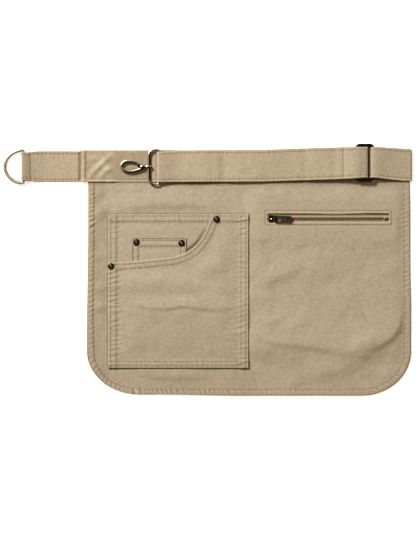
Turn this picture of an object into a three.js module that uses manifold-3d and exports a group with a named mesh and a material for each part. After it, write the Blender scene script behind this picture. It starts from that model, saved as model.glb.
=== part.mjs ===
// Half waist apron of cotton twill, lying flat with its belt folded back over the waistband.
// Millimetres. X runs along the waistband, Y up the apron towards the waistband, Z up from the floor.
import * as THREE from 'three';
import { mergeVertices } from 'three/addons/utils/BufferGeometryUtils.js';
import Module from 'manifold-3d';

const wasm = await Module();
wasm.setup();

// Cloth and clearances
const GAP = 0.3;
const PANEL_CLOTH = 1.2;
const POCKET_CLOTH = 1.0;
const BAND_CLOTH = 1.0;
const BELT_CLOTH = 1.0;
const TAB_CLOTH = 1.1;
const BAG_CLOTH = 1.0;
const TAPE_CLOTH = 0.8;
const GRID_PITCH = 13;

// Panel
const PANEL_LEFT = -150.3;
const PANEL_RIGHT = 253.2;
const PANEL_BOTTOM = -157.2;
const PANEL_TONGUE_TOP = 133;
const LEFT_CORNER = { across: 65, up: 54 };
const RIGHT_CORNER = { across: 56, up: 56 };
const HEM_WIDTH = 8;
const HEM_THICKNESS = 2.2;
const HEM_INSET = 0.3;
const HEM_TOP = 108;
const END_NOTCH = 14;
const NOTCH_TOP = 110.9;

// Waistband: a strip folded over the panel's top edge
const BAND_LEFT = -159;
const BAND_RIGHT = 252.6;
const BAND_BOTTOM = 109.4;
const BAND_TOP = 148.8;
const BAND_THICKNESS = 2 * BAND_CLOTH + PANEL_CLOTH + 2 * GAP;
const BAND_MIDDLE = BAND_THICKNESS / 2;
const SEAM_RISE = BAND_CLOTH + GAP;
const SEAM_RAMP_START = 84;
const SEAM_RAMP_END = 106;

// Zip and the bag behind it
const WINDOW = { left: 75, right: 227.2, bottom: 58, top: 70 };
const BAG = { left: 64, right: 231, bottom: -99, top: 94 };
const TAPES = { left: 68, right: 230.5, bottom: 47, top: 80 };
const BAG_LIFT = BAG_CLOTH + GAP;
const TAPE_LIFT = TAPE_CLOTH + GAP;
const CHAIN = { left: 86.6, right: 219.4, bottom: 61.2, top: 65 };
const CHAIN_FOOT = 1.4;
const CHAIN_ROOT = 2.6;
const CHAIN_HEAD = 3.4;
const TOOTH_PITCH = 4;
const TOOTH_LENGTH = 2.2;
const TOOTH_TAPER = 0.3;
const FIRST_TOOTH = 0.6;
const STOP = { left: 220, right: 225 };
const CHAIN_MIDDLE = (CHAIN.bottom + CHAIN.top) / 2;

// Patch pocket
const POCKET = { left: -124.7, right: 50.9, bottom: -123.1, top: 69.4 };
const FACING = { left: -124.7, right: 18, bottom: -24, top: 69.4 };
const COIN = { left: -94.3, right: -26.6, bottom: -14, top: 38.8 };
const SCOOP_TOP_X = 4.7;
const SCOOP_PULL = { x: -2, y: 40 };
const SCOOP_EASE = { x: -18, y: 17 };
const SCOOP_TURN = { x: -50, y: 14.8 };
const SCOOP_RUN = { x: -85, y: 10.3 };
const SCOOP_LEFT_Y = 8.4;
const POCKET_CROWN = 2.2;
const COIN_CROWN = 0.6;
const RIVET_RADIUS = 4;
const RIVET_RIM = 0.9;
const RIVET_DOME = 2.2;

// Metal fittings
const RING_WIRE = 1.6;
const RING_BAR_X = -230;
const RING_MIDDLE_Y = 128.5;
const RING_REACH = 23.6;
const RING_HALF_HEIGHT = 20.6;
const EYE_WIRE = 1.3;
const EYE_BAR_X = -61.2;
const EYE_SIDE_X = -74.7;
const EYE_TOP = 149.4;
const EYE_BOTTOM = 106.2;
const EYE_CORNER = 8;
const EYE_BAR_CORNER = 1.5;
const SWIVEL_Y = 128.1;
const BOSS_RADIUS = 2.6;
const BOSS_HALF = 2.6;
const POST_RADIUS = 1.2;
const HOOK_WIRE = 1.2;
const GATE_PIVOT = { x: -7.9, y: 0.3 };
const GATE_PIN = 0.7;
const GATE_HALF = 0.7;
const SLIDER_LEFT = 183;
const SLIDER_RIGHT = 208.6;
const SLIDER_BOTTOM = 109;
const SLIDER_TOP = 157.2;
const SLIDER_BAR = 3;
const SLIDER_SIDE = 3.6;
const SLIDER_CENTRE_BAR = 196.7;
const SLIDER_THICKNESS = 1.6;
const SLIDER_CORNER = 5;
const SLIDER_SLOT_CORNER = 0.6;

// Heights of the belt's layers, worked out from the cloth and the metal between them
const RUN_Z = BAND_THICKNESS + GAP + BELT_CLOTH / 2;
const LAYER = BELT_CLOTH + GAP;
const SECOND_Z = RUN_Z + LAYER;
const BAR_FOOT = SECOND_Z + BELT_CLOTH / 2 + GAP;
const OVER_BAR_Z = BAR_FOOT + SLIDER_THICKNESS + GAP + BELT_CLOTH / 2;
const OVER_FLAP_Z = OVER_BAR_Z + LAYER;
const EYE_FOLD = EYE_WIRE + GAP + BELT_CLOTH / 2;
const EYE_Z = RUN_Z + EYE_FOLD;
const RING_FOLD = RING_WIRE + GAP + TAB_CLOTH / 2;
const TAB_FLOOR_Z = TAB_CLOTH / 2;
const RING_BAR_Z = TAB_FLOOR_Z + RING_FOLD;

const twill = { color: 0xb4a286, roughness: 0.95, metalness: 0 };
const paleTwill = { color: 0xbda98b, roughness: 0.95, metalness: 0 };
const tapeCloth = { color: 0xa8957a, roughness: 0.9, metalness: 0 };
const agedBrass = { color: 0x4a3a28, roughness: 0.4, metalness: 1 };
const paleBrass = { color: 0xa58a63, roughness: 0.4, metalness: 1 };
const copper = { color: 0x6b4c33, roughness: 0.45, metalness: 1 };

const AXIS = {
  x: new THREE.Vector3(1, 0, 0),
  y: new THREE.Vector3(0, 1, 0),
  z: new THREE.Vector3(0, 0, 1),
};
const HALF_TURN = Math.PI / 2;

const group = new THREE.Group();

function place(name, geometry, finish) {
  const mesh = new THREE.Mesh(geometry, new THREE.MeshStandardMaterial(finish));
  mesh.name = name;
  group.add(mesh);
  return mesh;
}

// Merges shared corners and turns the faces outwards.
function weld(geometry) {
  const bare = new THREE.BufferGeometry();
  bare.setAttribute('position', geometry.getAttribute('position').clone());
  if (geometry.index) bare.setIndex(geometry.index.clone());
  const merged = mergeVertices(bare, 1e-4);
  const index = merged.index.array;
  const corner = [0, 1, 2].map(() => new THREE.Vector3());
  let volume = 0;
  for (let i = 0; i < index.length; i += 3) {
    corner.forEach((point, k) => point.fromBufferAttribute(merged.attributes.position, index[i + k]));
    volume += corner[0].dot(corner[1].clone().cross(corner[2]));
  }
  if (volume < 0) {
    for (let i = 0; i < index.length; i += 3) {
      [index[i + 1], index[i + 2]] = [index[i + 2], index[i + 1]];
    }
  }
  return merged;
}

function toSolid(geometry) {
  const merged = weld(geometry);
  return new wasm.Manifold(new wasm.Mesh({
    numProp: 3,
    vertProperties: Float32Array.from(merged.attributes.position.array),
    triVerts: Uint32Array.from(merged.index.array),
  }));
}

function fromSolid(solid) {
  const mesh = solid.getMesh();
  const geometry = new THREE.BufferGeometry();
  geometry.setAttribute('position', new THREE.BufferAttribute(mesh.vertProperties, 3));
  geometry.setIndex(new THREE.BufferAttribute(mesh.triVerts, 1));
  geometry.computeVertexNormals();
  return geometry;
}

const join = (...pieces) => fromSolid(pieces.map(toSolid).reduce((whole, piece) => whole.add(piece)));
const clip = (piece, tool) => fromSolid(toSolid(piece).intersect(toSolid(tool)));
const cut = (piece, ...tools) =>
  fromSolid(tools.map(toSolid).reduce((whole, tool) => whole.subtract(tool), toSolid(piece)));

function block(left, right, bottom, top, foot, head) {
  const box = new THREE.BoxGeometry(right - left, top - bottom, head - foot);
  return box.translate((left + right) / 2, (bottom + top) / 2, (foot + head) / 2);
}

function rod(radius, length, sides) {
  return new THREE.CylinderGeometry(radius, radius, length, sides);
}

function slab(outline, foot, head, curveSegments = 8) {
  const options = { depth: head - foot, bevelEnabled: false, curveSegments };
  return new THREE.ExtrudeGeometry(outline, options).translate(0, 0, foot);
}

function rectangle(box) {
  const outline = new THREE.Shape();
  outline.moveTo(box.left, box.bottom);
  outline.lineTo(box.right, box.bottom);
  outline.lineTo(box.right, box.top);
  outline.lineTo(box.left, box.top);
  return outline;
}

// Cloth lying over other layers
const smooth = (from, to, value) => THREE.MathUtils.smoothstep(value, from, to);

// 1 over a box and one grid pitch around it, falling to 0 over the next pitch.
function cover(x, y, box) {
  const near = GRID_PITCH;
  const far = 2 * GRID_PITCH;
  const fromLeft = smooth(box.left - far, box.left - near, x);
  const fromRight = 1 - smooth(box.right + near, box.right + far, x);
  const fromBelow = smooth(box.bottom - far, box.bottom - near, y);
  const fromAbove = 1 - smooth(box.top + near, box.top + far, y);
  return fromLeft * fromRight * fromBelow * fromAbove;
}

// Soft folds in the panel: a ridge from one point to another, with its height and half width.
const FOLDS = [
  { x1: 241, y1: -76, x2: 212, y2: -98, height: 1.6, half: 13 },
  { x1: 212, y1: -98, x2: 150, y2: -132, height: 1.6, half: 13 },
  { x1: 60, y1: -84, x2: 112, y2: -97, height: 1.3, half: 13 },
  { x1: 112, y1: -97, x2: 162, y2: -100, height: 1.3, half: 13 },
  { x1: 84, y1: 0, x2: 104, y2: -20, height: 0.8, half: 12 },
  { x1: -70, y1: 84, x2: -10, y2: 82, height: 0.6, half: 12 },
  { x1: -138, y1: -20, x2: -128, y2: -60, height: 0.7, half: 12 },
];

function foldHeight(x, y) {
  const point = new THREE.Vector3(x, y, 0);
  const nearest = new THREE.Vector3();
  let height = 0;
  for (const fold of FOLDS) {
    const line = new THREE.Line3(
      new THREE.Vector3(fold.x1, fold.y1, 0),
      new THREE.Vector3(fold.x2, fold.y2, 0),
    );
    line.closestPointToPoint(point, true, nearest);
    const away = nearest.distanceTo(point) / fold.half;
    height = Math.max(height, fold.height * Math.exp(-away * away));
  }
  return height * (1 - cover(x, y, TAPES)) * (1 - smooth(SEAM_RAMP_START, SEAM_RAMP_END, y));
}

function panelRise(x, y) {
  const lying = BAG_LIFT * cover(x, y, BAG) + TAPE_LIFT * cover(x, y, TAPES);
  const seam = SEAM_RISE * smooth(SEAM_RAMP_START, SEAM_RAMP_END, y);
  return Math.max(lying, seam) + foldHeight(x, y);
}

const facingRise = (x, y) => panelRise(x, y) + PANEL_CLOTH + GAP;

function crown(x, y, box) {
  const across = (2 * x - box.left - box.right) / (box.right - box.left);
  const along = (2 * y - box.bottom - box.top) / (box.top - box.bottom);
  return Math.max(0, 1 - across ** 2) * Math.max(0, 1 - along ** 2);
}

const coinRise = (x, y) =>
  facingRise(x, y) + POCKET_CLOTH + GAP + COIN_CROWN * crown(x, y, COIN);

function frontRise(x, y) {
  const overFacing = (POCKET_CLOTH + GAP) * cover(x, y, FACING);
  const overCoin = (POCKET_CLOTH + GAP + COIN_CROWN) * cover(x, y, COIN);
  return facingRise(x, y) + overFacing + overCoin + POCKET_CROWN * crown(x, y, POCKET);
}

// A wall of cloth inside an outline, its underside at rise(x, y) on one shared grid.
function clothWall(outline, rise, thickness) {
  const bounds = new THREE.Box2().setFromPoints(outline.getPoints(12));
  const first = bounds.min.divideScalar(GRID_PITCH).floor();
  const last = bounds.max.divideScalar(GRID_PITCH).ceil();
  const columns = last.x - first.x + 1;
  const rows = last.y - first.y + 1;
  const positions = [];
  for (const lift of [0, thickness]) {
    for (let row = 0; row < rows; row += 1) {
      for (let column = 0; column < columns; column += 1) {
        const x = (first.x + column) * GRID_PITCH;
        const y = (first.y + row) * GRID_PITCH;
        positions.push(x, y, rise(x, y) + lift);
      }
    }
  }
  const layer = rows * columns;
  const at = (row, column) => row * columns + column;
  const faces = [];
  const square = (a, b, c, d) => faces.push(a, b, c, a, c, d);
  for (let row = 0; row + 1 < rows; row += 1) {
    for (let column = 0; column + 1 < columns; column += 1) {
      const [a, b] = [at(row, column), at(row, column + 1)];
      const [c, d] = [at(row + 1, column + 1), at(row + 1, column)];
      faces.push(a, c, b, a, d, c);
      square(a + layer, b + layer, c + layer, d + layer);
    }
  }
  for (let column = 0; column + 1 < columns; column += 1) {
    const [a, b] = [at(0, column), at(0, column + 1)];
    const [c, d] = [at(rows - 1, column), at(rows - 1, column + 1)];
    square(a, b, b + layer, a + layer);
    square(d, c, c + layer, d + layer);
  }
  for (let row = 0; row + 1 < rows; row += 1) {
    const [a, b] = [at(row, 0), at(row + 1, 0)];
    const [c, d] = [at(row, columns - 1), at(row + 1, columns - 1)];
    square(b, a, a + layer, b + layer);
    square(c, d, d + layer, c + layer);
  }
  const wall = new THREE.BufferGeometry();
  wall.setAttribute('position', new THREE.Float32BufferAttribute(positions, 3));
  wall.setIndex(faces);
  return clip(wall, slab(outline, -GRID_PITCH, 2 * GRID_PITCH));
}

// Top of a cloth wall under a round foot, on the flat faces of the grid.
function seatHeight(rise, x, y, radius) {
  let highest = -Infinity;
  for (let turn = 0; turn < 8; turn += 1) {
    const px = x + radius * Math.cos(turn * Math.PI / 4);
    const py = y + radius * Math.sin(turn * Math.PI / 4);
    const left = Math.floor(px / GRID_PITCH) * GRID_PITCH;
    const low = Math.floor(py / GRID_PITCH) * GRID_PITCH;
    const u = (px - left) / GRID_PITCH;
    const v = (py - low) / GRID_PITCH;
    const start = rise(left, low);
    const end = rise(left + GRID_PITCH, low + GRID_PITCH);
    const side = u > v ? rise(left + GRID_PITCH, low) : rise(left, low + GRID_PITCH);
    const height = u > v
      ? start + u * (side - start) + v * (end - side)
      : start + v * (side - start) + u * (end - side);
    highest = Math.max(highest, height);
  }
  return highest;
}

// Panel: rounded lower corners, a tongue held in the waistband, a slot for the zip and a turned hem
function cornerRun(outline, inset, top) {
  const left = PANEL_LEFT + inset;
  const right = PANEL_RIGHT - inset;
  const bottom = PANEL_BOTTOM + inset;
  const leftCorner = { across: LEFT_CORNER.across - inset, up: LEFT_CORNER.up - inset };
  const rightCorner = { across: RIGHT_CORNER.across - inset, up: RIGHT_CORNER.up - inset };
  outline.moveTo(left, top);
  outline.lineTo(left, bottom + leftCorner.up);
  outline.absellipse(
    left + leftCorner.across, bottom + leftCorner.up,
    leftCorner.across, leftCorner.up, Math.PI, 1.5 * Math.PI, false,
  );
  outline.lineTo(right - rightCorner.across, bottom);
  outline.absellipse(
    right - rightCorner.across, bottom + rightCorner.up,
    rightCorner.across, rightCorner.up, 1.5 * Math.PI, 2 * Math.PI, false,
  );
  outline.lineTo(right, top);
}

function makePanel() {
  const outline = new THREE.Shape();
  cornerRun(outline, 0, NOTCH_TOP);
  outline.lineTo(PANEL_RIGHT - END_NOTCH, NOTCH_TOP);
  outline.lineTo(PANEL_RIGHT - END_NOTCH, PANEL_TONGUE_TOP);
  outline.lineTo(PANEL_LEFT + END_NOTCH, PANEL_TONGUE_TOP);
  outline.lineTo(PANEL_LEFT + END_NOTCH, NOTCH_TOP);
  const wall = clothWall(outline, panelRise, PANEL_CLOTH);
  const windowTool = slab(rectangle(WINDOW), -GRID_PITCH, GRID_PITCH);
  const outside = new THREE.Shape();
  cornerRun(outside, HEM_INSET, HEM_TOP);
  const inside = new THREE.Shape();
  cornerRun(inside, HEM_WIDTH, HEM_TOP);
  const hemOutline = new THREE.Shape([...outside.getPoints(8), ...inside.getPoints(8).reverse()]);
  const hemRise = (x, y) => panelRise(x, y) + PANEL_CLOTH / 3;
  const hem = clothWall(hemOutline, hemRise, HEM_THICKNESS - PANEL_CLOTH / 3);
  return join(cut(wall, windowTool), hem);
}

place('panel', makePanel(), twill);
place('zip_pocket_bag', slab(rectangle(BAG), 0, BAG_CLOTH), twill);

// Waistband: a strip folded over the panel's tongue, its fold along the top edge
function makeWaistband() {
  const section = new THREE.Shape();
  const foldY = BAND_TOP - BAND_MIDDLE;
  section.moveTo(BAND_BOTTOM, 0);
  section.lineTo(foldY, 0);
  section.absarc(foldY, BAND_MIDDLE, BAND_MIDDLE, -Math.PI / 2, Math.PI / 2, false);
  section.lineTo(BAND_BOTTOM, BAND_THICKNESS);
  section.lineTo(BAND_BOTTOM, BAND_THICKNESS - BAND_CLOTH);
  section.lineTo(foldY, BAND_THICKNESS - BAND_CLOTH);
  section.absarc(foldY, BAND_MIDDLE, BAND_MIDDLE - BAND_CLOTH, Math.PI / 2, -Math.PI / 2, true);
  section.lineTo(BAND_BOTTOM, BAND_CLOTH);
  const length = BAND_RIGHT - BAND_LEFT;
  const strip = slab(section, 0, length);
  const turned = new THREE.Matrix4().makeBasis(AXIS.y, AXIS.z, AXIS.x);
  return strip.applyMatrix4(turned).translate(BAND_LEFT, 0, 0);
}

place('waistband', makeWaistband(), paleTwill);

// A strap that runs along a route seen from its edge. Each row of the route is a point of the
// cloth's middle, with the middle and the width of the strap there.
function makeStrap(route, thickness, stepsPerRow) {
  const path = new THREE.CatmullRomCurve3(
    route.map((row) => new THREE.Vector3(row.x, 0, row.z)), false, 'centripetal',
  );
  const spread = new THREE.CatmullRomCurve3(
    route.map((row) => new THREE.Vector3(row.middle, row.width, 0)), false, 'catmullrom', 0,
  );
  const steps = (route.length - 1) * stepsPerRow;
  const over = [];
  const under = [];
  for (let step = 0; step <= steps; step += 1) {
    const row = Math.min(Math.floor(step / stepsPerRow), route.length - 2);
    const ends = new THREE.Box3().setFromPoints(path.points.slice(row, row + 2));
    const point = path.getPoint(step / steps).clamp(ends.min, ends.max);
    const along = path.getTangent(step / steps);
    const size = spread.getPoint(step / steps);
    const half = thickness / 2;
    const edge = { bottom: size.x - size.y / 2, top: size.x + size.y / 2 };
    over.push({ x: point.x - along.z * half, z: point.z + along.x * half, ...edge });
    under.push({ x: point.x + along.z * half, z: point.z - along.x * half, ...edge });
  }
  const ring = [...over, ...under.reverse()];
  const count = ring.length;
  const positions = [];
  ring.forEach((corner) => positions.push(corner.x, corner.bottom, corner.z));
  ring.forEach((corner) => positions.push(corner.x, corner.top, corner.z));
  const faces = [];
  for (let i = 0; i < count; i += 1) {
    const next = (i + 1) % count;
    faces.push(i, next, next + count, i, next + count, i + count);
  }
  for (let i = 0; i < steps; i += 1) {
    const [a, b, c, d] = [i, i + 1, count - 2 - i, count - 1 - i];
    faces.push(a, c, b, a, d, c);
    faces.push(a + count, b + count, c + count, a + count, c + count, d + count);
  }
  const strap = new THREE.BufferGeometry();
  strap.setAttribute('position', new THREE.Float32BufferAttribute(positions, 3));
  strap.setIndex(faces);
  return weld(strap);
}

// Points of a fold round a bar, from one angle to another in quarter turns of a half circle.
function foldRows(centreX, centreZ, radius, fromAngle, toAngle, middle, width) {
  return [0, 1, 2, 3, 4].map((quarter) => {
    const angle = fromAngle + (toAngle - fromAngle) * quarter / 4;
    return {
      x: centreX + radius * Math.cos(angle),
      z: centreZ + radius * Math.sin(angle),
      middle,
      width,
    };
  });
}

const FOLD_SLACK = 0.6;
const END_FOLD = (RUN_Z - BAND_MIDDLE) / 2;
const END_FOLD_X = BAND_RIGHT + FOLD_SLACK;
const CENTRE_FOLD = (OVER_BAR_Z - SECOND_Z) / 2;
const CENTRE_FOLD_X = SLIDER_CENTRE_BAR + 2 * FOLD_SLACK;
const CENTRE_FOLD_Z = (OVER_BAR_Z + SECOND_Z) / 2;
const RIGHT_BAR_X = SLIDER_RIGHT - SLIDER_BAR / 2;
const LEFT_BAR_X = SLIDER_LEFT + SLIDER_BAR / 2;
const SLOT_X = 202.6;
const FLAP_END_X = 169;

const BELT_ROUTE = [
  { x: PANEL_RIGHT - 13, z: BAND_MIDDLE, middle: 129.2, width: 35.6 },
  { x: PANEL_RIGHT - 6, z: BAND_MIDDLE, middle: 129.2, width: 35.6 },
  { x: END_FOLD_X, z: BAND_MIDDLE, middle: 129.2, width: 35.6 },
  { x: END_FOLD_X + END_FOLD, z: BAND_MIDDLE + END_FOLD, middle: 130.6, width: 38 },
  { x: END_FOLD_X, z: RUN_Z, middle: 131.2, width: 39.2 },
  { x: 246, z: RUN_Z, middle: 131.4, width: 39.2 },
  { x: 234, z: RUN_Z, middle: 132.2, width: 38.8 },
  { x: 222, z: RUN_Z + 1.6, middle: 133.2, width: 38 },
  { x: 213, z: OVER_BAR_Z - 0.7, middle: 134, width: 37.2 },
  { x: RIGHT_BAR_X + 2.4, z: OVER_BAR_Z, middle: 134.2, width: 37.2 },
  { x: RIGHT_BAR_X - 1.8, z: OVER_BAR_Z, middle: 134.2, width: 37.2 },
  { x: SLOT_X + 1.7, z: OVER_BAR_Z - 0.8, middle: 134.2, width: 37.2 },
  { x: SLOT_X + 0.7, z: OVER_BAR_Z - 2.2, middle: 134.2, width: 37.2 },
  { x: SLOT_X - 0.4, z: RUN_Z + 0.9, middle: 134.1, width: 37.2 },
  { x: SLOT_X - 2.2, z: RUN_Z, middle: 134.1, width: 37.2 },
  { x: 180, z: RUN_Z, middle: 133.6, width: 38.4 },
  { x: 65, z: RUN_Z, middle: 130.1, width: 38.6 },
  { x: -30, z: RUN_Z, middle: 129.6, width: 38.6 },
  { x: EYE_BAR_X + 8, z: RUN_Z, middle: 128.8, width: 37.4 },
  ...foldRows(EYE_BAR_X, EYE_Z, EYE_FOLD, -HALF_TURN, -3 * HALF_TURN, 128.2, 37.2),
  { x: EYE_BAR_X + 8, z: EYE_Z + EYE_FOLD - 0.9, middle: 128.8, width: 37.4 },
  { x: EYE_BAR_X + 20, z: SECOND_Z + 0.6, middle: 129.2, width: 38 },
  { x: -30, z: SECOND_Z, middle: 129.6, width: 38.6 },
  { x: 65, z: SECOND_Z, middle: 130.1, width: 38.6 },
  { x: FLAP_END_X - 14, z: SECOND_Z, middle: 132.8, width: 38.6 },
  { x: FLAP_END_X - 2, z: SECOND_Z + LAYER, middle: 133.2, width: 38.6 },
  { x: FLAP_END_X + 4, z: SECOND_Z + LAYER + 0.3, middle: 133.4, width: 38.4 },
  { x: LEFT_BAR_X - 3, z: OVER_FLAP_Z + 0.2, middle: 133.6, width: 38 },
  { x: LEFT_BAR_X + 2, z: OVER_FLAP_Z + 0.2, middle: 133.8, width: 37.8 },
  { x: SLIDER_CENTRE_BAR - 4, z: OVER_BAR_Z + 0.5, middle: 134, width: 37.2 },
  ...foldRows(CENTRE_FOLD_X, CENTRE_FOLD_Z, CENTRE_FOLD, HALF_TURN, -HALF_TURN, 134.1, 37.2),
  { x: SLIDER_CENTRE_BAR - 2.4, z: SECOND_Z, middle: 134, width: 37.2 },
  { x: LEFT_BAR_X + 5.6, z: SECOND_Z + 1.5, middle: 133.9, width: 37.2 },
  { x: LEFT_BAR_X + 3.4, z: OVER_BAR_Z - 0.6, middle: 133.8, width: 37.8 },
  { x: LEFT_BAR_X + 1.8, z: OVER_BAR_Z, middle: 133.7, width: 37.8 },
  { x: LEFT_BAR_X - 1.6, z: OVER_BAR_Z, middle: 133.7, width: 37.8 },
  { x: LEFT_BAR_X - 4, z: OVER_BAR_Z - 0.9, middle: 133.6, width: 38 },
  { x: FLAP_END_X + 6, z: SECOND_Z + 0.3, middle: 133.4, width: 38.2 },
  { x: FLAP_END_X, z: SECOND_Z, middle: 133.2, width: 38.2 },
];

place('belt', makeStrap(BELT_ROUTE, BELT_CLOTH, 3), paleTwill);

// Left tab: sewn into the waistband's left end and folded under round the ring's straight bar
const TAB_ROUTE = [
  { x: PANEL_LEFT + 13, z: BAND_MIDDLE, middle: 129, width: 36 },
  { x: BAND_LEFT - 1, z: BAND_MIDDLE, middle: 129, width: 36 },
  { x: BAND_LEFT - 5, z: BAND_MIDDLE - 0.3, middle: 128.8, width: 38.4 },
  { x: BAND_LEFT - 18, z: TAB_FLOOR_Z, middle: 128.8, width: 38.7 },
  { x: -202, z: TAB_FLOOR_Z, middle: 128.8, width: 38.7 },
  { x: -214, z: TAB_FLOOR_Z + 1.3, middle: 128.7, width: 38.4 },
  { x: -221, z: TAB_FLOOR_Z + 2.6, middle: 128.6, width: 37.2 },
  ...foldRows(RING_BAR_X, RING_BAR_Z, RING_FOLD, HALF_TURN, 3 * HALF_TURN, 128.5, 36.6),
  { x: -224, z: TAB_FLOOR_Z, middle: 128.5, width: 36.8 },
  { x: -217, z: TAB_FLOOR_Z, middle: 128.5, width: 37 },
];

place('left_tab', makeStrap(TAB_ROUTE, TAB_CLOTH, 3), paleTwill);

// Patch pocket: a facing, a small coin pocket on it, and a front with a scooped mouth
function frontOutline() {
  const outline = new THREE.Shape();
  outline.moveTo(POCKET.left, POCKET.bottom);
  outline.lineTo(POCKET.right, POCKET.bottom);
  outline.lineTo(POCKET.right, POCKET.top);
  outline.lineTo(SCOOP_TOP_X, POCKET.top);
  outline.bezierCurveTo(
    SCOOP_PULL.x, SCOOP_PULL.y, SCOOP_EASE.x, SCOOP_EASE.y, SCOOP_TURN.x, SCOOP_TURN.y,
  );
  outline.quadraticCurveTo(SCOOP_RUN.x, SCOOP_RUN.y, POCKET.left, SCOOP_LEFT_Y);
  return outline;
}

place('pocket_facing', clothWall(rectangle(FACING), facingRise, POCKET_CLOTH), twill);
place('coin_pocket', clothWall(rectangle(COIN), coinRise, POCKET_CLOTH), twill);
place('pocket_front', clothWall(frontOutline(), frontRise, POCKET_CLOTH), twill);

// Rivets: a flat rim with a low dome, one at each strained corner of the pocket mouths
const RIVETS = [
  { name: 'rivet_pocket_left', x: -120.3, y: 4, rise: frontRise },
  { name: 'rivet_coin_left', x: -88.9, y: 33.8, rise: coinRise },
  { name: 'rivet_coin_right', x: -32.6, y: 32.8, rise: coinRise },
  { name: 'rivet_pocket_right', x: 11.2, y: 62.6, rise: frontRise },
];

function makeRivet() {
  const profile = [
    new THREE.Vector2(0, 0),
    new THREE.Vector2(RIVET_RADIUS, 0),
    new THREE.Vector2(RIVET_RADIUS, RIVET_RIM * 0.7),
    new THREE.Vector2(RIVET_RADIUS * 0.86, RIVET_RIM),
    new THREE.Vector2(RIVET_RADIUS * 0.7, RIVET_RIM),
    new THREE.Vector2(RIVET_RADIUS * 0.5, RIVET_DOME * 0.8),
    new THREE.Vector2(0, RIVET_DOME),
  ];
  return weld(new THREE.LatheGeometry(profile, 12).rotateX(Math.PI / 2));
}

for (const rivet of RIVETS) {
  const seat = seatHeight(rivet.rise, rivet.x, rivet.y, RIVET_RADIUS) + POCKET_CLOTH + GAP;
  place(rivet.name, makeRivet(), copper).position.set(rivet.x, rivet.y, seat);
}

// A closed loop of wire through points in one plane
function wireLoop(points, radius, steps) {
  const path = new THREE.CatmullRomCurve3(points, true, 'centripetal');
  return weld(new THREE.TubeGeometry(path, steps, radius, 8, true));
}

// D ring: a half ellipse of wire on a straight bar, tipped so that its far side touches the floor
function makeRing() {
  const points = [];
  const arcSteps = 12;
  for (let step = 0; step <= arcSteps; step += 1) {
    const angle = HALF_TURN + Math.PI * step / arcSteps;
    points.push(new THREE.Vector3(RING_REACH * Math.cos(angle), RING_HALF_HEIGHT * Math.sin(angle), 0));
  }
  for (const share of [-0.9, -0.5, 0, 0.5, 0.9]) {
    points.push(new THREE.Vector3(0, RING_HALF_HEIGHT * share, 0));
  }
  return wireLoop(points, RING_WIRE, 36);
}

const ring = place('d_ring', makeRing(), paleBrass);
ring.position.set(RING_BAR_X, RING_MIDDLE_Y, RING_BAR_Z);
ring.rotation.y = -Math.asin((RING_BAR_Z - RING_WIRE) / RING_REACH);

// Hook eye: a wire loop with round corners, and a boss on its free side for the hook's post
function makeEye() {
  const points = [];
  const corners = [
    { x: EYE_SIDE_X + EYE_CORNER, y: EYE_TOP - EYE_CORNER, start: HALF_TURN },
    { x: EYE_SIDE_X + EYE_CORNER, y: EYE_BOTTOM + EYE_CORNER, start: 2 * HALF_TURN },
  ];
  for (const corner of corners) {
    for (let step = 0; step <= 4; step += 1) {
      const angle = corner.start + HALF_TURN * step / 4;
      points.push(new THREE.Vector3(
        corner.x + EYE_CORNER * Math.cos(angle), corner.y + EYE_CORNER * Math.sin(angle), EYE_Z,
      ));
    }
  }
  points.push(new THREE.Vector3(EYE_BAR_X - EYE_BAR_CORNER, EYE_BOTTOM, EYE_Z));
  for (const inset of [EYE_BAR_CORNER, 2 * EYE_BAR_CORNER, 3 * EYE_BAR_CORNER]) {
    points.push(new THREE.Vector3(EYE_BAR_X, EYE_BOTTOM + inset, EYE_Z));
  }
  for (const inset of [3 * EYE_BAR_CORNER, 2 * EYE_BAR_CORNER, EYE_BAR_CORNER]) {
    points.push(new THREE.Vector3(EYE_BAR_X, EYE_TOP - inset, EYE_Z));
  }
  points.push(new THREE.Vector3(EYE_BAR_X - EYE_BAR_CORNER, EYE_TOP, EYE_Z));
  const boss = rod(BOSS_RADIUS, 2 * BOSS_HALF, 14).rotateZ(HALF_TURN);
  const bore = rod(POST_RADIUS + GAP, 4 * BOSS_HALF, 14).rotateZ(HALF_TURN);
  boss.translate(EYE_SIDE_X, SWIVEL_Y, EYE_Z);
  bore.translate(EYE_SIDE_X, SWIVEL_Y, EYE_Z);
  return cut(join(wireLoop(points, EYE_WIRE, 52), boss), bore);
}

place('hook_eye', makeEye(), agedBrass);

// Hook: a bent wire claw on a shoulder, slotted for the gate, with a post riveted through the boss
const CLAW = [
  { x: -6.6, y: -2 },
  { x: -10.5, y: -3.3 },
  { x: -14.5, y: -4.6 },
  { x: -20.3, y: -5.8 },
  { x: -27.5, y: -5 },
  { x: -32.4, y: -1.6 },
  { x: -33, y: 2 },
  { x: -30.4, y: 5.4 },
  { x: -25.3, y: 7.2 },
  { x: -18.5, y: 6.6 },
  { x: -12.9, y: 4.3 },
];
const SHOULDER = { x: -7.6, radius: 3.2, half: 2 };
const GATE_SLOT = { left: -11.2, right: -5.3, bottom: -2.1, top: 5 };
const PIN_INSET = 0.2;
const NECK_RADIUS = 1.9;
const NECK_OVERLAP = 0.6;
const HEAD_RADIUS = 2.2;
const HEAD_LENGTH = 1.4;
const POST_HEAD_X = BOSS_HALF + GAP + HEAD_LENGTH;

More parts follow.
